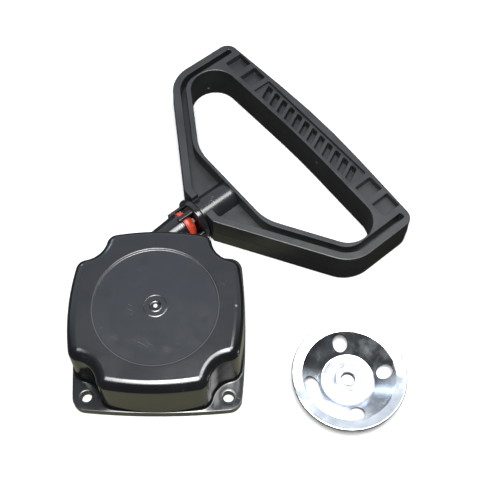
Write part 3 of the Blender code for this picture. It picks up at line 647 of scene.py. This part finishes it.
# the wall from the flange up over the rounded edge
def domeSide(s):
    low = s["flangeThick"]
    loops = []
    outline = domeOutline()
    outward = [(Vector(b) - Vector(a)) for a, b in zip(outline, domeOutline(-1.0))]
    fillets = [max(0.05, min(s["fillet"], (s["half"] + 0.1 - max(abs(x), abs(y))) * 0.6))
               for x, y in outline]
    for k in range(6):
        a = math.radians(90 * k / 5)
        loops.append([(p[0] + n.x * f * (1 - math.sin(a)), p[1] + n.y * f * (1 - math.sin(a)),
                       low + f * (1 - math.cos(a)))
                      for p, n, f in zip(outline, outward, fillets)])
    edgeLow = s["top"] - s["edge"]
    for share in (0.25, 0.5, 0.75):
        loops.append(atHeight(domeOutline(s["draft"] * share), low + (edgeLow - low) * share))
    flat = s["edge"] - s["draft"]
    for k in range(13):
        a = math.radians(82 * k / 12)
        loops.append(atHeight(domeOutline(s["draft"] + flat * (1 - math.cos(a))),
                              edgeLow + (s["edge"] - 0.06) * math.sin(a)))
    loops.append(atHeight(domeOutline(s["edge"] - 0.35), s["top"]))
    loops.append(atHeight(domeOutline(s["edge"]), s["top"]))
    return loops


# the flat top, its two ring lines, the hub and the post down the middle
def domeTop(s, ways):
    top = s["top"]
    rings = [(s["ringLines"][0] + 2.0, top)]
    for radius in s["ringLines"]:
        for share, drop in ((0.5, 0.0), (0.3, 0.1), (0.0, 0.5), (-0.3, 0.9), (-0.5, 1.0)):
            rings.append((radius + s["ringWidth"] * share, top - s["ringStep"] * drop))
        top -= s["ringStep"]
    hub, dimple = s["hubRing"], s["hubDimple"]
    rings += [(radius, top) for radius in (30, 20, 12)]
    rings += [(hub + out, top + up) for out, up in s["hubBead"]]
    rings += [(dimple + out, top + up) for out, up in s["dimpleLip"]]
    top = s["top"]
    deep, tip = top - s["dimpleDepth"], top - s["tipDepth"]
    rings += [(dimple, top - 0.45), (dimple, deep + 0.1), (dimple - 0.2, deep), (s["tipBore"], deep),
              (s["tipBore"], tip), (s["postBore"], tip), (s["postBore"], s["postLow"] + 0.4),
              (s["postBore"] + 0.3, s["postLow"]), (s["postRadius"] - 0.5, s["postLow"]),
              (s["postRadius"], s["postLow"] + 0.5), (s["postRadius"], top - s["wall"] - 1.5),
              (s["postRadius"] + 0.45, top - s["wall"] - 0.45), (s["postRadius"] + 1.5, top - s["wall"]),
              (20, top - s["wall"]), (38, top - s["wall"])]
    return [[(x * r, y * r, z) for x, y in ways] for r, z in rings]


def domeInside(s):
    inner = s["edge"] - s["wall"]
    loops = [atHeight(domeOutline(s["edge"]), s["top"] - s["wall"])]
    for k in range(6):
        a = math.radians(90 - 15 * k)
        loops.append(atHeight(domeOutline(s["wall"] + inner * (1 - math.cos(a))),
                              s["top"] - s["edge"] + inner * math.sin(a)))
    loops.append(atHeight(domeOutline(s["wall"]), s["top"] - s["edge"]))
    loops.append(atHeight(domeOutline(s["wall"]), 0.4))
    loops.append(atHeight(domeOutline(s["wall"] - 0.4), 0.0))
    return loops


def neckSolid(s):
    lead = s["neckEnd"] - s["neckStart"]
    profile = [(0.0, s["neckStart"])]
    for k in range(9):
        share = k / 8
        radius = s["neckRoot"] + (s["neckRadius"] - 0.55 - s["neckRoot"]) * (0.8 * share + 0.2 * share ** 3)
        profile.append((radius, s["neckStart"] + share * (lead - 1.9)))
    end, wide = s["neckEnd"], s["neckRadius"]
    profile += [(wide - 0.45, end - 1.5), (wide - 0.12, end - 1.25), (wide, end - 1.0), (wide, end - 0.4),
                (wide - 0.12, end - 0.12), (wide - 0.4, end), (0.0, end)]
    return turned("neck", profile, 64, ropePlace())


def makeHousing():
    s = housing
    bm = bmesh.new()
    ways = [tuple(Vector(p).normalized()) for p in domeOutline(s["edge"])]
    rows = loft(bm, domeSide(s) + domeTop(s, ways) + domeInside(s))
    e, thick = s["flangeEdge"], s["flangeThick"]
    rim = loft(bm, [atHeight(flangeOutline(0.4), 0.0), atHeight(flangeOutline(0.12), 0.12),
                    atHeight(flangeOutline(), 0.4), atHeight(flangeOutline(), thick - e),
                    atHeight(flangeOutline(e * 0.3), thick - e * 0.3), atHeight(flangeOutline(e), thick)])
    tops, bottoms = [rim[-1], rows[0]], [rim[0], rows[-1]]
    for k in range(4):
        centre = turnPoint((s["earHole"],) * 2, k * math.pi / 2)
        hole, lift = s["earHoleRadius"], s["earRimHeight"]
        ear = loft(bm, [atHeight(circle(r, 40, centre), z) for r, z in
                        ((s["earRim"], thick), (s["earRim"] - 0.25, thick + lift),
                         (hole + 0.75, thick + lift), (hole + 0.25, thick + lift - 0.12),
                         (hole, thick - 0.3), (hole, 0.35), (hole + 0.35, 0.0))])
        tops.append(ear[0])
        bottoms.append(ear[-1])
    fillFlat(bm, tops)
    fillFlat(bm, bottoms)
    body = addObject("housing_body", bm)
    combine(body, [neckSolid(s)], "UNION")
    end, narrow, mouth = s["neckEnd"], s["neckBore"], s["mouthRadius"]
    seat = end - s["mouthDepth"]
    bore = turned("neck_bore", [(0.0, s["neckStart"] + 2), (narrow, s["neckStart"] + 2), (narrow, seat),
                                (mouth, seat), (mouth, end - 0.3), (mouth + 0.6, end + 0.3),
                                (0.0, end + 0.3)], 48, ropePlace())
    combine(body, [bore], "DIFFERENCE")
    well = plug("pulley_well", s["wellRadius"], -1.0, s["wellTop"], 96)
    post = plug("post_keep", s["wellInner"], -2.0, s["wellTop"] + 0.5, 48)
    combine(well, [post], "DIFFERENCE")
    combine(body, [well], "DIFFERENCE")
    return finishPiece(body, "housing", blackNylon, "black_nylon", "housing_shell")


makeHousing()
print("housing made")


# neck fittings

wiper = {"start": 52.8, "flangeRadius": 10.4, "flangeThick": 0.8, "crownRadius": 9.9, "length": 6.5,
         "bore": 2.4}


def makeWiper():
    s = wiper
    low, high = s["start"], s["start"] + s["length"]
    profile = rounded([(s["bore"], low, 0.0), (s["bore"], high, 0.7), (s["crownRadius"] - 3.0, high, 2.0),
                       (s["crownRadius"], high - 3.2, 2.6), (s["crownRadius"], low + s["flangeThick"], 0.25),
                       (s["flangeRadius"], low + s["flangeThick"], 0.5), (s["flangeRadius"], low, 0.3)], 15)
    body = turned("wiper_seal", profile, 72, ropePlace())
    return finishPiece(body, "housing", redUrethane, "red_rubber", "rope_wiper")


cage = {"collarLow": 60.6, "collarHigh": 65.8, "collarRadius": 14.4, "bore": 6.0, "fingerStart": 50.4,
        "fingerLow": 11.1, "fingerHigh": 13.0, "fingerHalf": 1.8, "underside": 0.3}


def makeCage():
    s = cage
    low, high, wide = s["collarLow"], s["collarHigh"], s["collarRadius"]
    profile = rounded([(s["bore"], low, 0.3), (wide - 0.6, low, 0.4), (wide, low + 0.9, 0.4),
                       (wide, high - 2.2, 0.25), (wide - 0.7, high - 2.0, 0.2), (wide - 0.7, high - 1.2, 0.5),
                       (wide - 2.0, high, 0.5), (s["bore"], high, 0.3)], 15)
    body = turned("guide_cage", profile, 96, ropePlace())
    fingers = []
    for turn in range(4):
        inner, outer, half = s["fingerLow"], s["fingerHigh"], s["fingerHalf"]
        outline = rounded([(inner, -half, 0.35), (outer, -half, 1.0), (outer, half, 1.0),
                           (inner, half, 0.35)], 15)
        loops = [atHeight(grown(outline, -0.45), s["fingerStart"]),
                 atHeight(grown(outline, -0.12), s["fingerStart"] + 0.15),
                 atHeight(outline, s["fingerStart"] + 0.5), atHeight(outline, low + 1.5)]
        fingers.append(stack(f"finger_{turn}", loops,
                             ropePlace() @ Matrix.Rotation(turn * math.pi / 2, 4, "Z")))
    combine(body, fingers, "UNION")
    depth = s["underside"] - ropeHeight
    ground = stack("cage_flat", [atHeight([(-30, -30), (depth, -30), (depth, 30), (-30, 30)], z)
                                 for z in (40, 70)], ropePlace())
    combine(body, [ground], "DIFFERENCE")
    return finishPiece(body, "housing", glossBlack, "gloss_black", "rope_guide_cage")


makeWiper()
makeCage()
print("neck fittings made")


# handle, in distances along the rope line (x), across it (y) and up (z)

handle = {
    "half": 12.5, "draft": 0.30, "edge": 0.7, "partingLine": 0.12,
    "outer": [(66.2, 15.0, 2.5), (115.6, 94.5, 24.0), (167.4, 94.5, 8.5)], "outerFar": (173.8, 0.0, 550.0),
    "opening": [(94.0, 34.0, 30.0), (147.3, 120.3, 15.9)], "openingFar": (151.6, 0.0, 600.0),
    "recess": [(71.9, 13.4, 1.5), (118.8, 88.8, 18.3), (163.0, 88.8, 1.0), (163.0, 85.1, 1.0),
               (121.0, 85.1, 14.5), (91.1, 37.0, 26.0)], "recessFloor": 2.2,
    "pocketNear": 153.4, "pocketFar": 166.6, "pocketHalf": 5.6, "pockets": (58.7, 74.6), "pocketDepth": 5.0,
    "panelHalf": 49.0, "panelDepth": 2.2,
    "slotCount": 12, "slotPitch": 7.7, "slotWidth": 4.9, "slotLean": 2.4, "slotEnd": 1.5,
    "stemStart": 66.2, "stemRadius": 10.5, "ropeBore": 2.8, "knotBore": 6.6, "knotStart": 81.5,
    "slotDepth": 8.5, "laneEnd": 74.0, "laneHalf": 7.2, "laneFloor": 8.0,
}


def mirroredOutline(corners, far=()):
    back = [(x, -y, r) for x, y, r in reversed(corners)]
    return rounded(corners + list(far) + back, 5)


# heights and insets of the drafted wall, with a thin ridge at the parting line
def wallLevels(s):
    half, edge, draft, ridge = s["half"], s["edge"], s["draft"], s["partingLine"]
    upper = [(0.0, 0.0), (0.12, 0.02), (0.3, ridge), (half - edge, ridge + draft)]
    for degrees in (22, 45, 68, 90):
        a = math.radians(degrees)
        upper.append((half - edge * (1 - math.sin(a)), ridge + draft + edge * (1 - math.cos(a))))
    return [(-z, inset) for z, inset in reversed(upper[1:])] + upper


def makeHandle():
    s = handle
    outer = mirroredOutline(s["outer"], [s["outerFar"]])
    opening = mirroredOutline(s["opening"], [s["openingFar"]])
    bm = bmesh.new()
    levels = wallLevels(s)
    outside = loft(bm, [atHeight(grown(outer, -inset), z) for z, inset in levels])
    inside = loft(bm, [atHeight(grown(opening, inset), z) for z, inset in levels])
    fillFlat(bm, [outside[0], inside[0]])
    fillFlat(bm, [outside[-1], inside[-1]])
    grip = addObject("handle_body", bm, handlePlace)

    cutters = []
    for face in (1, -1):
        top = face * s["half"]

        def cutter(name, outline, depth, flare=0.45):
            cutters.append(flaredCutter(f"{name}_{face}_{len(cutters)}", outline, top - face * depth, top,
                                        flare, handlePlace))

        cutter("recess", mirroredOutline(s["recess"]), s["half"] - s["recessFloor"])
        for middle in [wing * at for wing in (1, -1) for at in s["pockets"]]:
            cutter("pocket", rectangle(s["pocketNear"], s["pocketFar"], middle - s["pocketHalf"],
                                       middle + s["pocketHalf"], 0.6), s["pocketDepth"], 0.35)
        cutter("lane", rectangle(s["stemStart"] - 8, s["laneEnd"], -s["laneHalf"], s["laneHalf"], 0.6),
               s["half"] - s["laneFloor"], 0.3)
        cutter("panel", rectangle(s["pocketNear"], s["pocketFar"], -s["panelHalf"], s["panelHalf"], 0.6),
               s["panelDepth"], 0.35)
    combine(grip, cutters, "DIFFERENCE")

    slots = []
    for face in (1, -1):
        for i in range(s["slotCount"]):
            middle = (i - (s["slotCount"] - 1) / 2) * s["slotPitch"]
            half, lean = s["slotWidth"] / 2, s["slotLean"]
            near, far = s["pocketNear"] + s["slotEnd"], s["pocketFar"] - s["slotEnd"]
            outline = rounded([(near, middle - half - lean, 0.5), (far, middle - half + lean, 0.5),
                               (far, middle + half + lean, 0.5), (near, middle + half - lean, 0.5)], 20)
            top = face * (s["half"] - s["panelDepth"])
            slots.append(flaredCutter(f"slot_{face}_{i}", outline, face * (s["half"] - s["slotDepth"]), top,
                                      0.3, handlePlace))
    combine(grip, slots, "DIFFERENCE")

    start, end, wide = s["stemStart"], s["opening"][0][0] - 0.4, s["stemRadius"]
    outline = rounded([(0.0, start, 0.0), (wide, start, 0.6), (wide, end, 0.3), (0.0, end, 0.0)], 20)
    combine(grip, [turned("stem", outline, 72, ropePlace())], "UNION")
    narrow, wide = s["ropeBore"], s["knotBore"]
    ropeHole = [(0.0, start - 2), (narrow + 1.4, start - 2), (narrow + 0.6, start), (narrow, start + 0.8),
                (narrow, start + 20), (0.0, start + 20)]
    knotHole = [(0.0, s["knotStart"]), (wide, s["knotStart"]), (wide, end - 0.1), (wide + 0.6, end + 0.6),
                (wide + 0.6, end + 4), (0.0, end + 4)]
    bores = [turned("rope_bore", ropeHole, 32, ropePlace()), turned("knot_bore", knotHole, 40, ropePlace())]
    combine(grip, bores, "DIFFERENCE")
    return finishPiece(grip, "handle", satinHandle, "satin_handle", "handle_grip")


makeHandle()
print("handle made")


# starter cup and its centre nut

nutLow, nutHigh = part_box("cup_nut")
cupCentre = Vector(((nutLow.x + nutHigh.x) / 2, (nutLow.y + nutHigh.y) / 2, 0.0))
cup = {
    "profile": [(4.9, 0.1, 0.0), (16.0, 0.1, 2.0), (28.4, 9.3, 1.6), (34.2, 10.5, 0.5), (34.2, 12.0, 0.7),
                (27.9, 10.9, 0.9), (16.0, 1.5, 1.6), (4.9, 1.5, 0.0)],
    "holeRing": 22.3, "holeRadius": 4.6, "holeTurn": math.radians(10),
    "nut": [(4.0, 0.2, 0.2), (4.6, 0.2, 0.1), (4.6, 1.8, 0.0), (7.9, 1.8, 0.2), (7.9, 4.4, 0.35),
            (7.3, 4.8, 0.25), (5.6, 4.8, 0.2), (5.3, 4.45, 0.15), (4.7, 4.45, 0.15), (4.0, 3.8, 0.2)],
}


def makeCup():
    place = Matrix.Translation(cupCentre)
    dish = turned("cup_dish_body", rounded(cup["profile"], 10), 160, place)
    holes = []
    for i in range(4):
        spot = turnPoint((cup["holeRing"], 0.0), i * math.pi / 2 + cup["holeTurn"])
        loops = [atHeight(circle(cup["holeRadius"], 48, spot), z) for z in (-2.0, 16.0)]
        holes.append(stack(f"cup_hole_{i}", loops, place))
    combine(dish, holes, "DIFFERENCE")
    finishPiece(dish, "starter_cup", brightZinc, "bright_zinc", "cup_dish")
    nut = turned("cup_nut_body", rounded(cup["nut"], 15), 96, place)
    finishPiece(nut, "starter_cup", nutZinc, "bright_zinc", "cup_nut")


makeCup()
print("cup made")


# pulley, springs and rope

pulley = {"radius": 46.0, "drum": 26.0, "grooveHalf": 2.2, "disc": 1.8,
          "hub": 10.6, "bore": 7.4, "hubTop": 38.6,
          "recessNear": 28.5, "recessFar": 43.6, "recess": 0.7, "ribCount": 12, "ribHalf": 0.9,
          "pivot": 21.0, "postRadius": 2.2, "postLow": 4.3, "knotRing": 20.0, "knotPocket": 4.6,
          "wrapRadius": 43.2, "bend": 36.0}


# where the rope leaves its outermost wrap
def wrapStart():
    toBend = Vector((pulley["bend"], ropeStart.dot(ropeSide) / mm))
    lean = math.atan2(toBend.y, toBend.x) - math.asin(pulley["wrapRadius"] / toBend.length)
    return math.atan2(ropeDir.y, ropeDir.x) + lean + math.pi / 2


def makePulley():
    s = pulley
    middle = ropeHeight
    low, high = middle - s["grooveHalf"] - s["disc"], middle + s["grooveHalf"] + s["disc"]
    above, below = middle + s["grooveHalf"], middle - s["grooveHalf"]
    near, far, floor = s["recessNear"], s["recessFar"], low + s["recess"]
    profile = rounded([(s["hub"], s["hubTop"], 0.5), (s["hub"], high, 0.8), (s["radius"], high, 0.5),
                       (s["radius"], above + 0.6, 0.4), (s["drum"], above, 0.5), (s["drum"], below, 0.5),
                       (s["radius"], below - 0.6, 0.4), (s["radius"], low, 0.5), (far, low, 0.2),
                       (far - 0.3, floor, 0.2), (near + 0.3, floor, 0.2), (near, low, 0.2),
                       (s["bore"], low, 0.3), (s["bore"], s["hubTop"], 0.3)], 20)
    body = turned("pulley_body", profile, 144)
    added = []
    for i in range(s["ribCount"]):
        outline = rectangle(near - 0.5, far + 0.5, -s["ribHalf"], s["ribHalf"], 0.2, 30)
        loops = [atHeight(grown(outline, -0.15), low + 0.06), atHeight(outline, low + 0.25),
                 atHeight(outline, low + 1.0)]
        added.append(stack(f"rib_{i}", loops, Matrix.Rotation(math.tau * i / s["ribCount"], 4, "Z")))
    ropeTurn = math.atan2(ropeDir.y, ropeDir.x)
    for i in range(2):
        place = Matrix.Rotation(ropeTurn + i * math.pi, 4, "Z") @ Matrix.Translation((s["pivot"] * mm, 0, 0))
        outline = rounded([(0.0, s["postLow"], 0.0), (s["postRadius"], s["postLow"], 0.4),
                           (s["postRadius"], low + 1, 0.0), (0.0, low + 1, 0.0)], 20)
        added.append(turned(f"post_{i}", outline, 32, place))
    combine(body, added, "UNION")
    spot = turnPoint((s["knotRing"], 0.0), wrapStart())
    pocket = stack("knot_pocket", [atHeight(circle(s["knotPocket"], 32, spot), z)
                                   for z in (low - 1, middle + 3.2)])
    slot = stack("rope_slot", [atHeight([(19, -2.4), (30, -2.4), (30, 2.4), (19, 2.4)], z)
                               for z in (middle - 2.0, middle + 2.0)], Matrix.Rotation(wrapStart(), 4, "Z"))
    combine(body, [pocket, slot], "DIFFERENCE")
    return finishPiece(body, "pulley", pulleyNylon, "pulley_nylon", "rope_pulley")


# points of a smooth line through a few chosen ones
def smoothLine(points, per=8):
    points = [Vector(p) for p in points]
    made = []
    for i in range(len(points) - 1):
        p0, p1 = points[max(i - 1, 0)], points[i]
        p2, p3 = points[i + 1], points[min(i + 2, len(points) - 1)]
        for k in range(per):
            t = k / per
            made.append(0.5 * (2 * p1 + (p2 - p0) * t + (2 * p0 - 5 * p1 + 4 * p2 - p3) * t * t
                               + (3 * p1 - p0 - 3 * p2 + p3) * t ** 3))
    return made + [points[-1]]


# sweeps a round section along a line of points in metres; radiusAt gives it at a place and angle
def sweep(name, line, sides, radiusAt):
    bm = bmesh.new()
    rows = []
    up = Vector((0, 0, 1))
    travelled = 0.0
    for i, point in enumerate(line):
        ahead = (line[min(i + 1, len(line) - 1)] - line[max(i - 1, 0)]).normalized()
        side = up.cross(ahead).normalized()
        top = ahead.cross(side)
        if i:
            travelled += (point - line[i - 1]).length
        row = []
        for k in range(sides):
            a = math.tau * k / sides
            r = radiusAt(travelled, a)
            row.append(bm.verts.new((point + side * math.cos(a) * r + top * math.sin(a) * r) / mm))
        rows.append(row)
    for a, b in zip(rows, rows[1:]):
        for i in range(sides):
            j = (i + 1) % sides
            bm.faces.new((a[i], a[j], b[j], b[i]))
    bm.faces.new(rows[0])
    bm.faces.new(rows[-1])
    return addObject(name, bm)


springs = {"brakeRadius": 9.6, "brakeLow": 5.0, "brakeHigh": 8.0, "brakeTurns": 2, "brakeWire": 0.5,
           "pawlWire": 0.45, "pawlLevel": 6.6,
           "pawlRoute": [(2.6, 7.2), (5.4, 6.0), (7.4, 2.4), (7.6, -2.0), (6.4, -6.0), (3.9, -10.4)]}


def makeSprings():
    s = springs
    coil = []
    count = s["brakeTurns"] * 48
    for i in range(count + 1):
        x, y = turnPoint((s["brakeRadius"], 0.0), math.tau * i / 48)
        coil.append(Vector((x, y, s["brakeLow"] + (s["brakeHigh"] - s["brakeLow"]) * i / count)) * mm)
    wire = sweep("brake_coil", coil, 10, lambda along, a: s["brakeWire"] * mm)
    finishPiece(wire, "pulley", springSteel, "spring_steel", "brake_spring")
    ropeTurn = math.atan2(ropeDir.y, ropeDir.x)
    for i in range(2):
        place = (Matrix.Rotation(ropeTurn + i * math.pi, 4, "Z")
                 @ Matrix.Translation((pulley["pivot"] * mm, 0, 0)))
        route = [place @ Vector((x * mm, y * mm, s["pawlLevel"] * mm)) for x, y in s["pawlRoute"]]
        wire = sweep(f"pawl_wire_{i + 1}", smoothLine(route), 10, lambda along, a: s["pawlWire"] * mm)
        finishPiece(wire, "pulley", springSteel, "spring_steel", f"pawl_spring_{i + 1}")


rope = {"radius": 1.8, "relief": 0.16, "pitch": 5.2, "strands": 4, "end": 82.6, "gap": 0.3,
        "stretchStart": 30.0, "stretchEnd": 50.0}


def makeRope():
    s = rope
    start = wrapStart()
    leaving = Vector((*turnPoint((pulley["wrapRadius"], 0.0), start), ropeHeight)) * mm
    heading = Vector((*turnPoint((1.0, 0.0), start - math.pi / 2), 0.0))
    first = leaving + heading * s["gap"] * mm
    bend = ropeStart + ropeDir * pulley["bend"] * mm
    end = ropeStart + ropeDir * s["end"] * mm
    corners = smoothLine([first, first.lerp(bend, 0.5), first.lerp(bend, 0.86), bend.lerp(end, 0.1),
                          bend.lerp(end, 0.25), bend.lerp(end, 0.5), end], 40)

    def braid(along, angle):
        travel = math.tau * along / (s["pitch"] * mm)
        over = max(math.cos(s["strands"] * angle + travel), math.cos(s["strands"] * angle - travel))
        place = startAlong + along
        hidden = place < s["stretchEnd"] * mm
        relief = 0.0 if hidden else s["relief"] * (1 - over) / 2
        return (s["radius"] - relief) * mm

    startAlong = first.dot(ropeDir)
    lead = sweep("rope_lead_braid", corners, 40, braid)
    lead.data.materials.append(braidedRope)
    shade(lead, 60)
    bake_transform(lead)
    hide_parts("rope_lead")


makePulley()
makeSprings()
makeRope()
print("pulley, springs and rope made")


# nodes that keep their own shape

kept = {
    "rope_eyelet": (platedSteel, 0.15), "centre_pin": (platedSteel, 0.0), "hub_washer": (pulleyNylon, 0.1),
    "friction_washer": (platedSteel, 0.1), "spring_cup": (pulleyNylon, 0.2),
    "recoil_spring": (springSteel, 0.0),
    "rope_winding": (braidedRope, 0.0), "rope_anchor_knot": (braidedRope, 0.0),
    "pawl_retainer": (platedSteel, 0.25), "pawl_1": (platedSteel, 0.3), "pawl_2": (platedSteel, 0.3),
    "handle_knot": (braidedRope, 0.0), "knot_washer": (platedSteel, 0.1),
}
for name, (mat, edge) in kept.items():
    obj = nodes[name]
    obj.data.materials.clear()
    obj.data.materials.append(mat)
    if edge:
        weld = obj.modifiers.new("weld", "WELD")
        weld.merge_threshold = 0.00001
        bevel = obj.modifiers.new("soft_edges", "BEVEL")
        bevel.width = edge * mm
        bevel.segments = 2
        bevel.limit_method = "ANGLE"
        bevel.angle_limit = math.radians(40)
        bevel.harden_normals = True
print("kept nodes finished")


# camera, floor and light

view = {"target": (0.04887, 0.06724, 0.0), "elevation": math.radians(61.144), "distance": 0.58,
        "lens": 66.17}


def makeCamera():
    data = bpy.data.cameras.new("camera")
    data.lens = view["lens"]
    data.sensor_width = 36.0
    data.clip_start = 0.01
    camera = bpy.data.objects.new("camera", data)
    bpy.context.scene.collection.objects.link(camera)
    back = Vector((0, -math.cos(view["elevation"]), math.sin(view["elevation"])))
    camera.location = Vector(view["target"]) + back * view["distance"]
    camera.rotation_mode = "QUATERNION"
    camera.rotation_quaternion = (-back).to_track_quat("-Z", "Y")
    bpy.context.scene.camera = camera


floorLook = {
    "half": 3000.0, "flatReach": 1200.0, "rise": 0.00004, "drop": 0.05,
    "seen": ((0.42, 0.42, 0.42, 1), (0.45, 0.45, 0.45, 1)),
    "mirrored": ((0.10, 0.10, 0.070, 1), (0.020, 0.021, 0.017, 1)), "mirroredReach": (0.072, 0.092),
}


# pale where it is seen, and darker where gloss mirrors it
def makeFloor():
    look = floorLook
    bm = bmesh.new()
    bmesh.ops.create_grid(bm, x_segments=24, y_segments=24, size=look["half"])
    for vert in bm.verts:
        far = max(0.0, vert.co.length - look["flatReach"])
        vert.co.z = far * far * look["rise"] - look["drop"]
    floor = addObject("floor", bm)
    mat, tree, shader, where = newMaterial("paleFloor")
    pale = mixColour(tree, noise(tree, where, 3.0, 2.0), *look["seen"])
    seen = tree.nodes.new("ShaderNodeLightPath").outputs["Is Camera Ray"]
    away = remap(tree, vectorCalc(tree, "LENGTH", where), *look["mirroredReach"])
    colour = mixColour(tree, seen, mixColour(tree, away, *look["mirrored"]), pale)
    tree.links.new(colour, shader.inputs["Base Color"])
    shader.inputs["Roughness"].default_value = 0.9
    shader.inputs["Specular IOR Level"].default_value = 0.1
    floor.data.materials.append(mat)
    floor.data.shade_smooth()


# place, size, power and colour of each lamp
lights = {
    "overhead": ((0.02, -0.16, 0.95), (0.72, 0.72), 17.0, (1.0, 1.0, 1.0)),
    "overheadCore": ((0.02, -0.16, 0.94), (0.36, 0.36), 13.0, (1.0, 1.0, 1.0)),
    "right": ((0.42, 0.10, 0.90), (0.34, 0.34), 5.5, (1.0, 1.0, 1.0)),
    "window": ((-0.62, 0.70, 0.46), (0.16, 0.34), 1.3, (0.66, 0.82, 1.0)),
}


def makeLights():
    middle = Vector((0.05, 0.05, 0.0))
    for name, (place, size, power, colour) in lights.items():
        data = bpy.data.lights.new(name, "AREA")
        data.shape = "ELLIPSE"
        data.size, data.size_y = size
        data.energy = power
        data.color = colour
        lamp = bpy.data.objects.new(name, data)
        bpy.context.scene.collection.objects.link(lamp)
        lamp.location = place
        aim = middle - Vector(place)
        lamp.rotation_mode = "QUATERNION"
        lamp.rotation_quaternion = aim.to_track_quat("-Z", "Y")


room = {"front": (0.035, 0.036, 0.036, 1), "behind": (0.90, 0.97, 1.08, 1), "change": (0.20, 0.42),
        "corner": (0.10, 0.11, 0.115, 1), "cornerWay": (-0.60, 0.79, 0.05), "cornerEdge": (0.93, 0.985)}


# a room that is pale behind the object, and dark in front of it and in one corner
def makeRoom():
    world = bpy.data.worlds.new("room")
    bpy.context.scene.world = world
    world.use_nodes = True
    tree = world.node_tree
    way = tree.nodes.new("ShaderNodeTexCoord").outputs["Generated"]
    behind = remap(tree, split(tree, way)["Y"], *room["change"])
    colour = mixColour(tree, behind, room["front"], room["behind"])
    corner = remap(tree, vectorCalc(tree, "DOT_PRODUCT", way, room["cornerWay"]), *room["cornerEdge"])
    colour = mixColour(tree, corner, colour, room["corner"])
    background = tree.nodes["Background"]
    tree.links.new(colour, background.inputs["Color"])
    background.inputs["Strength"].default_value = 1.0


makeCamera()
makeFloor()
makeLights()
makeRoom()
bpy.context.scene.view_settings.view_transform = "Standard"
print("camera, floor and light ready")
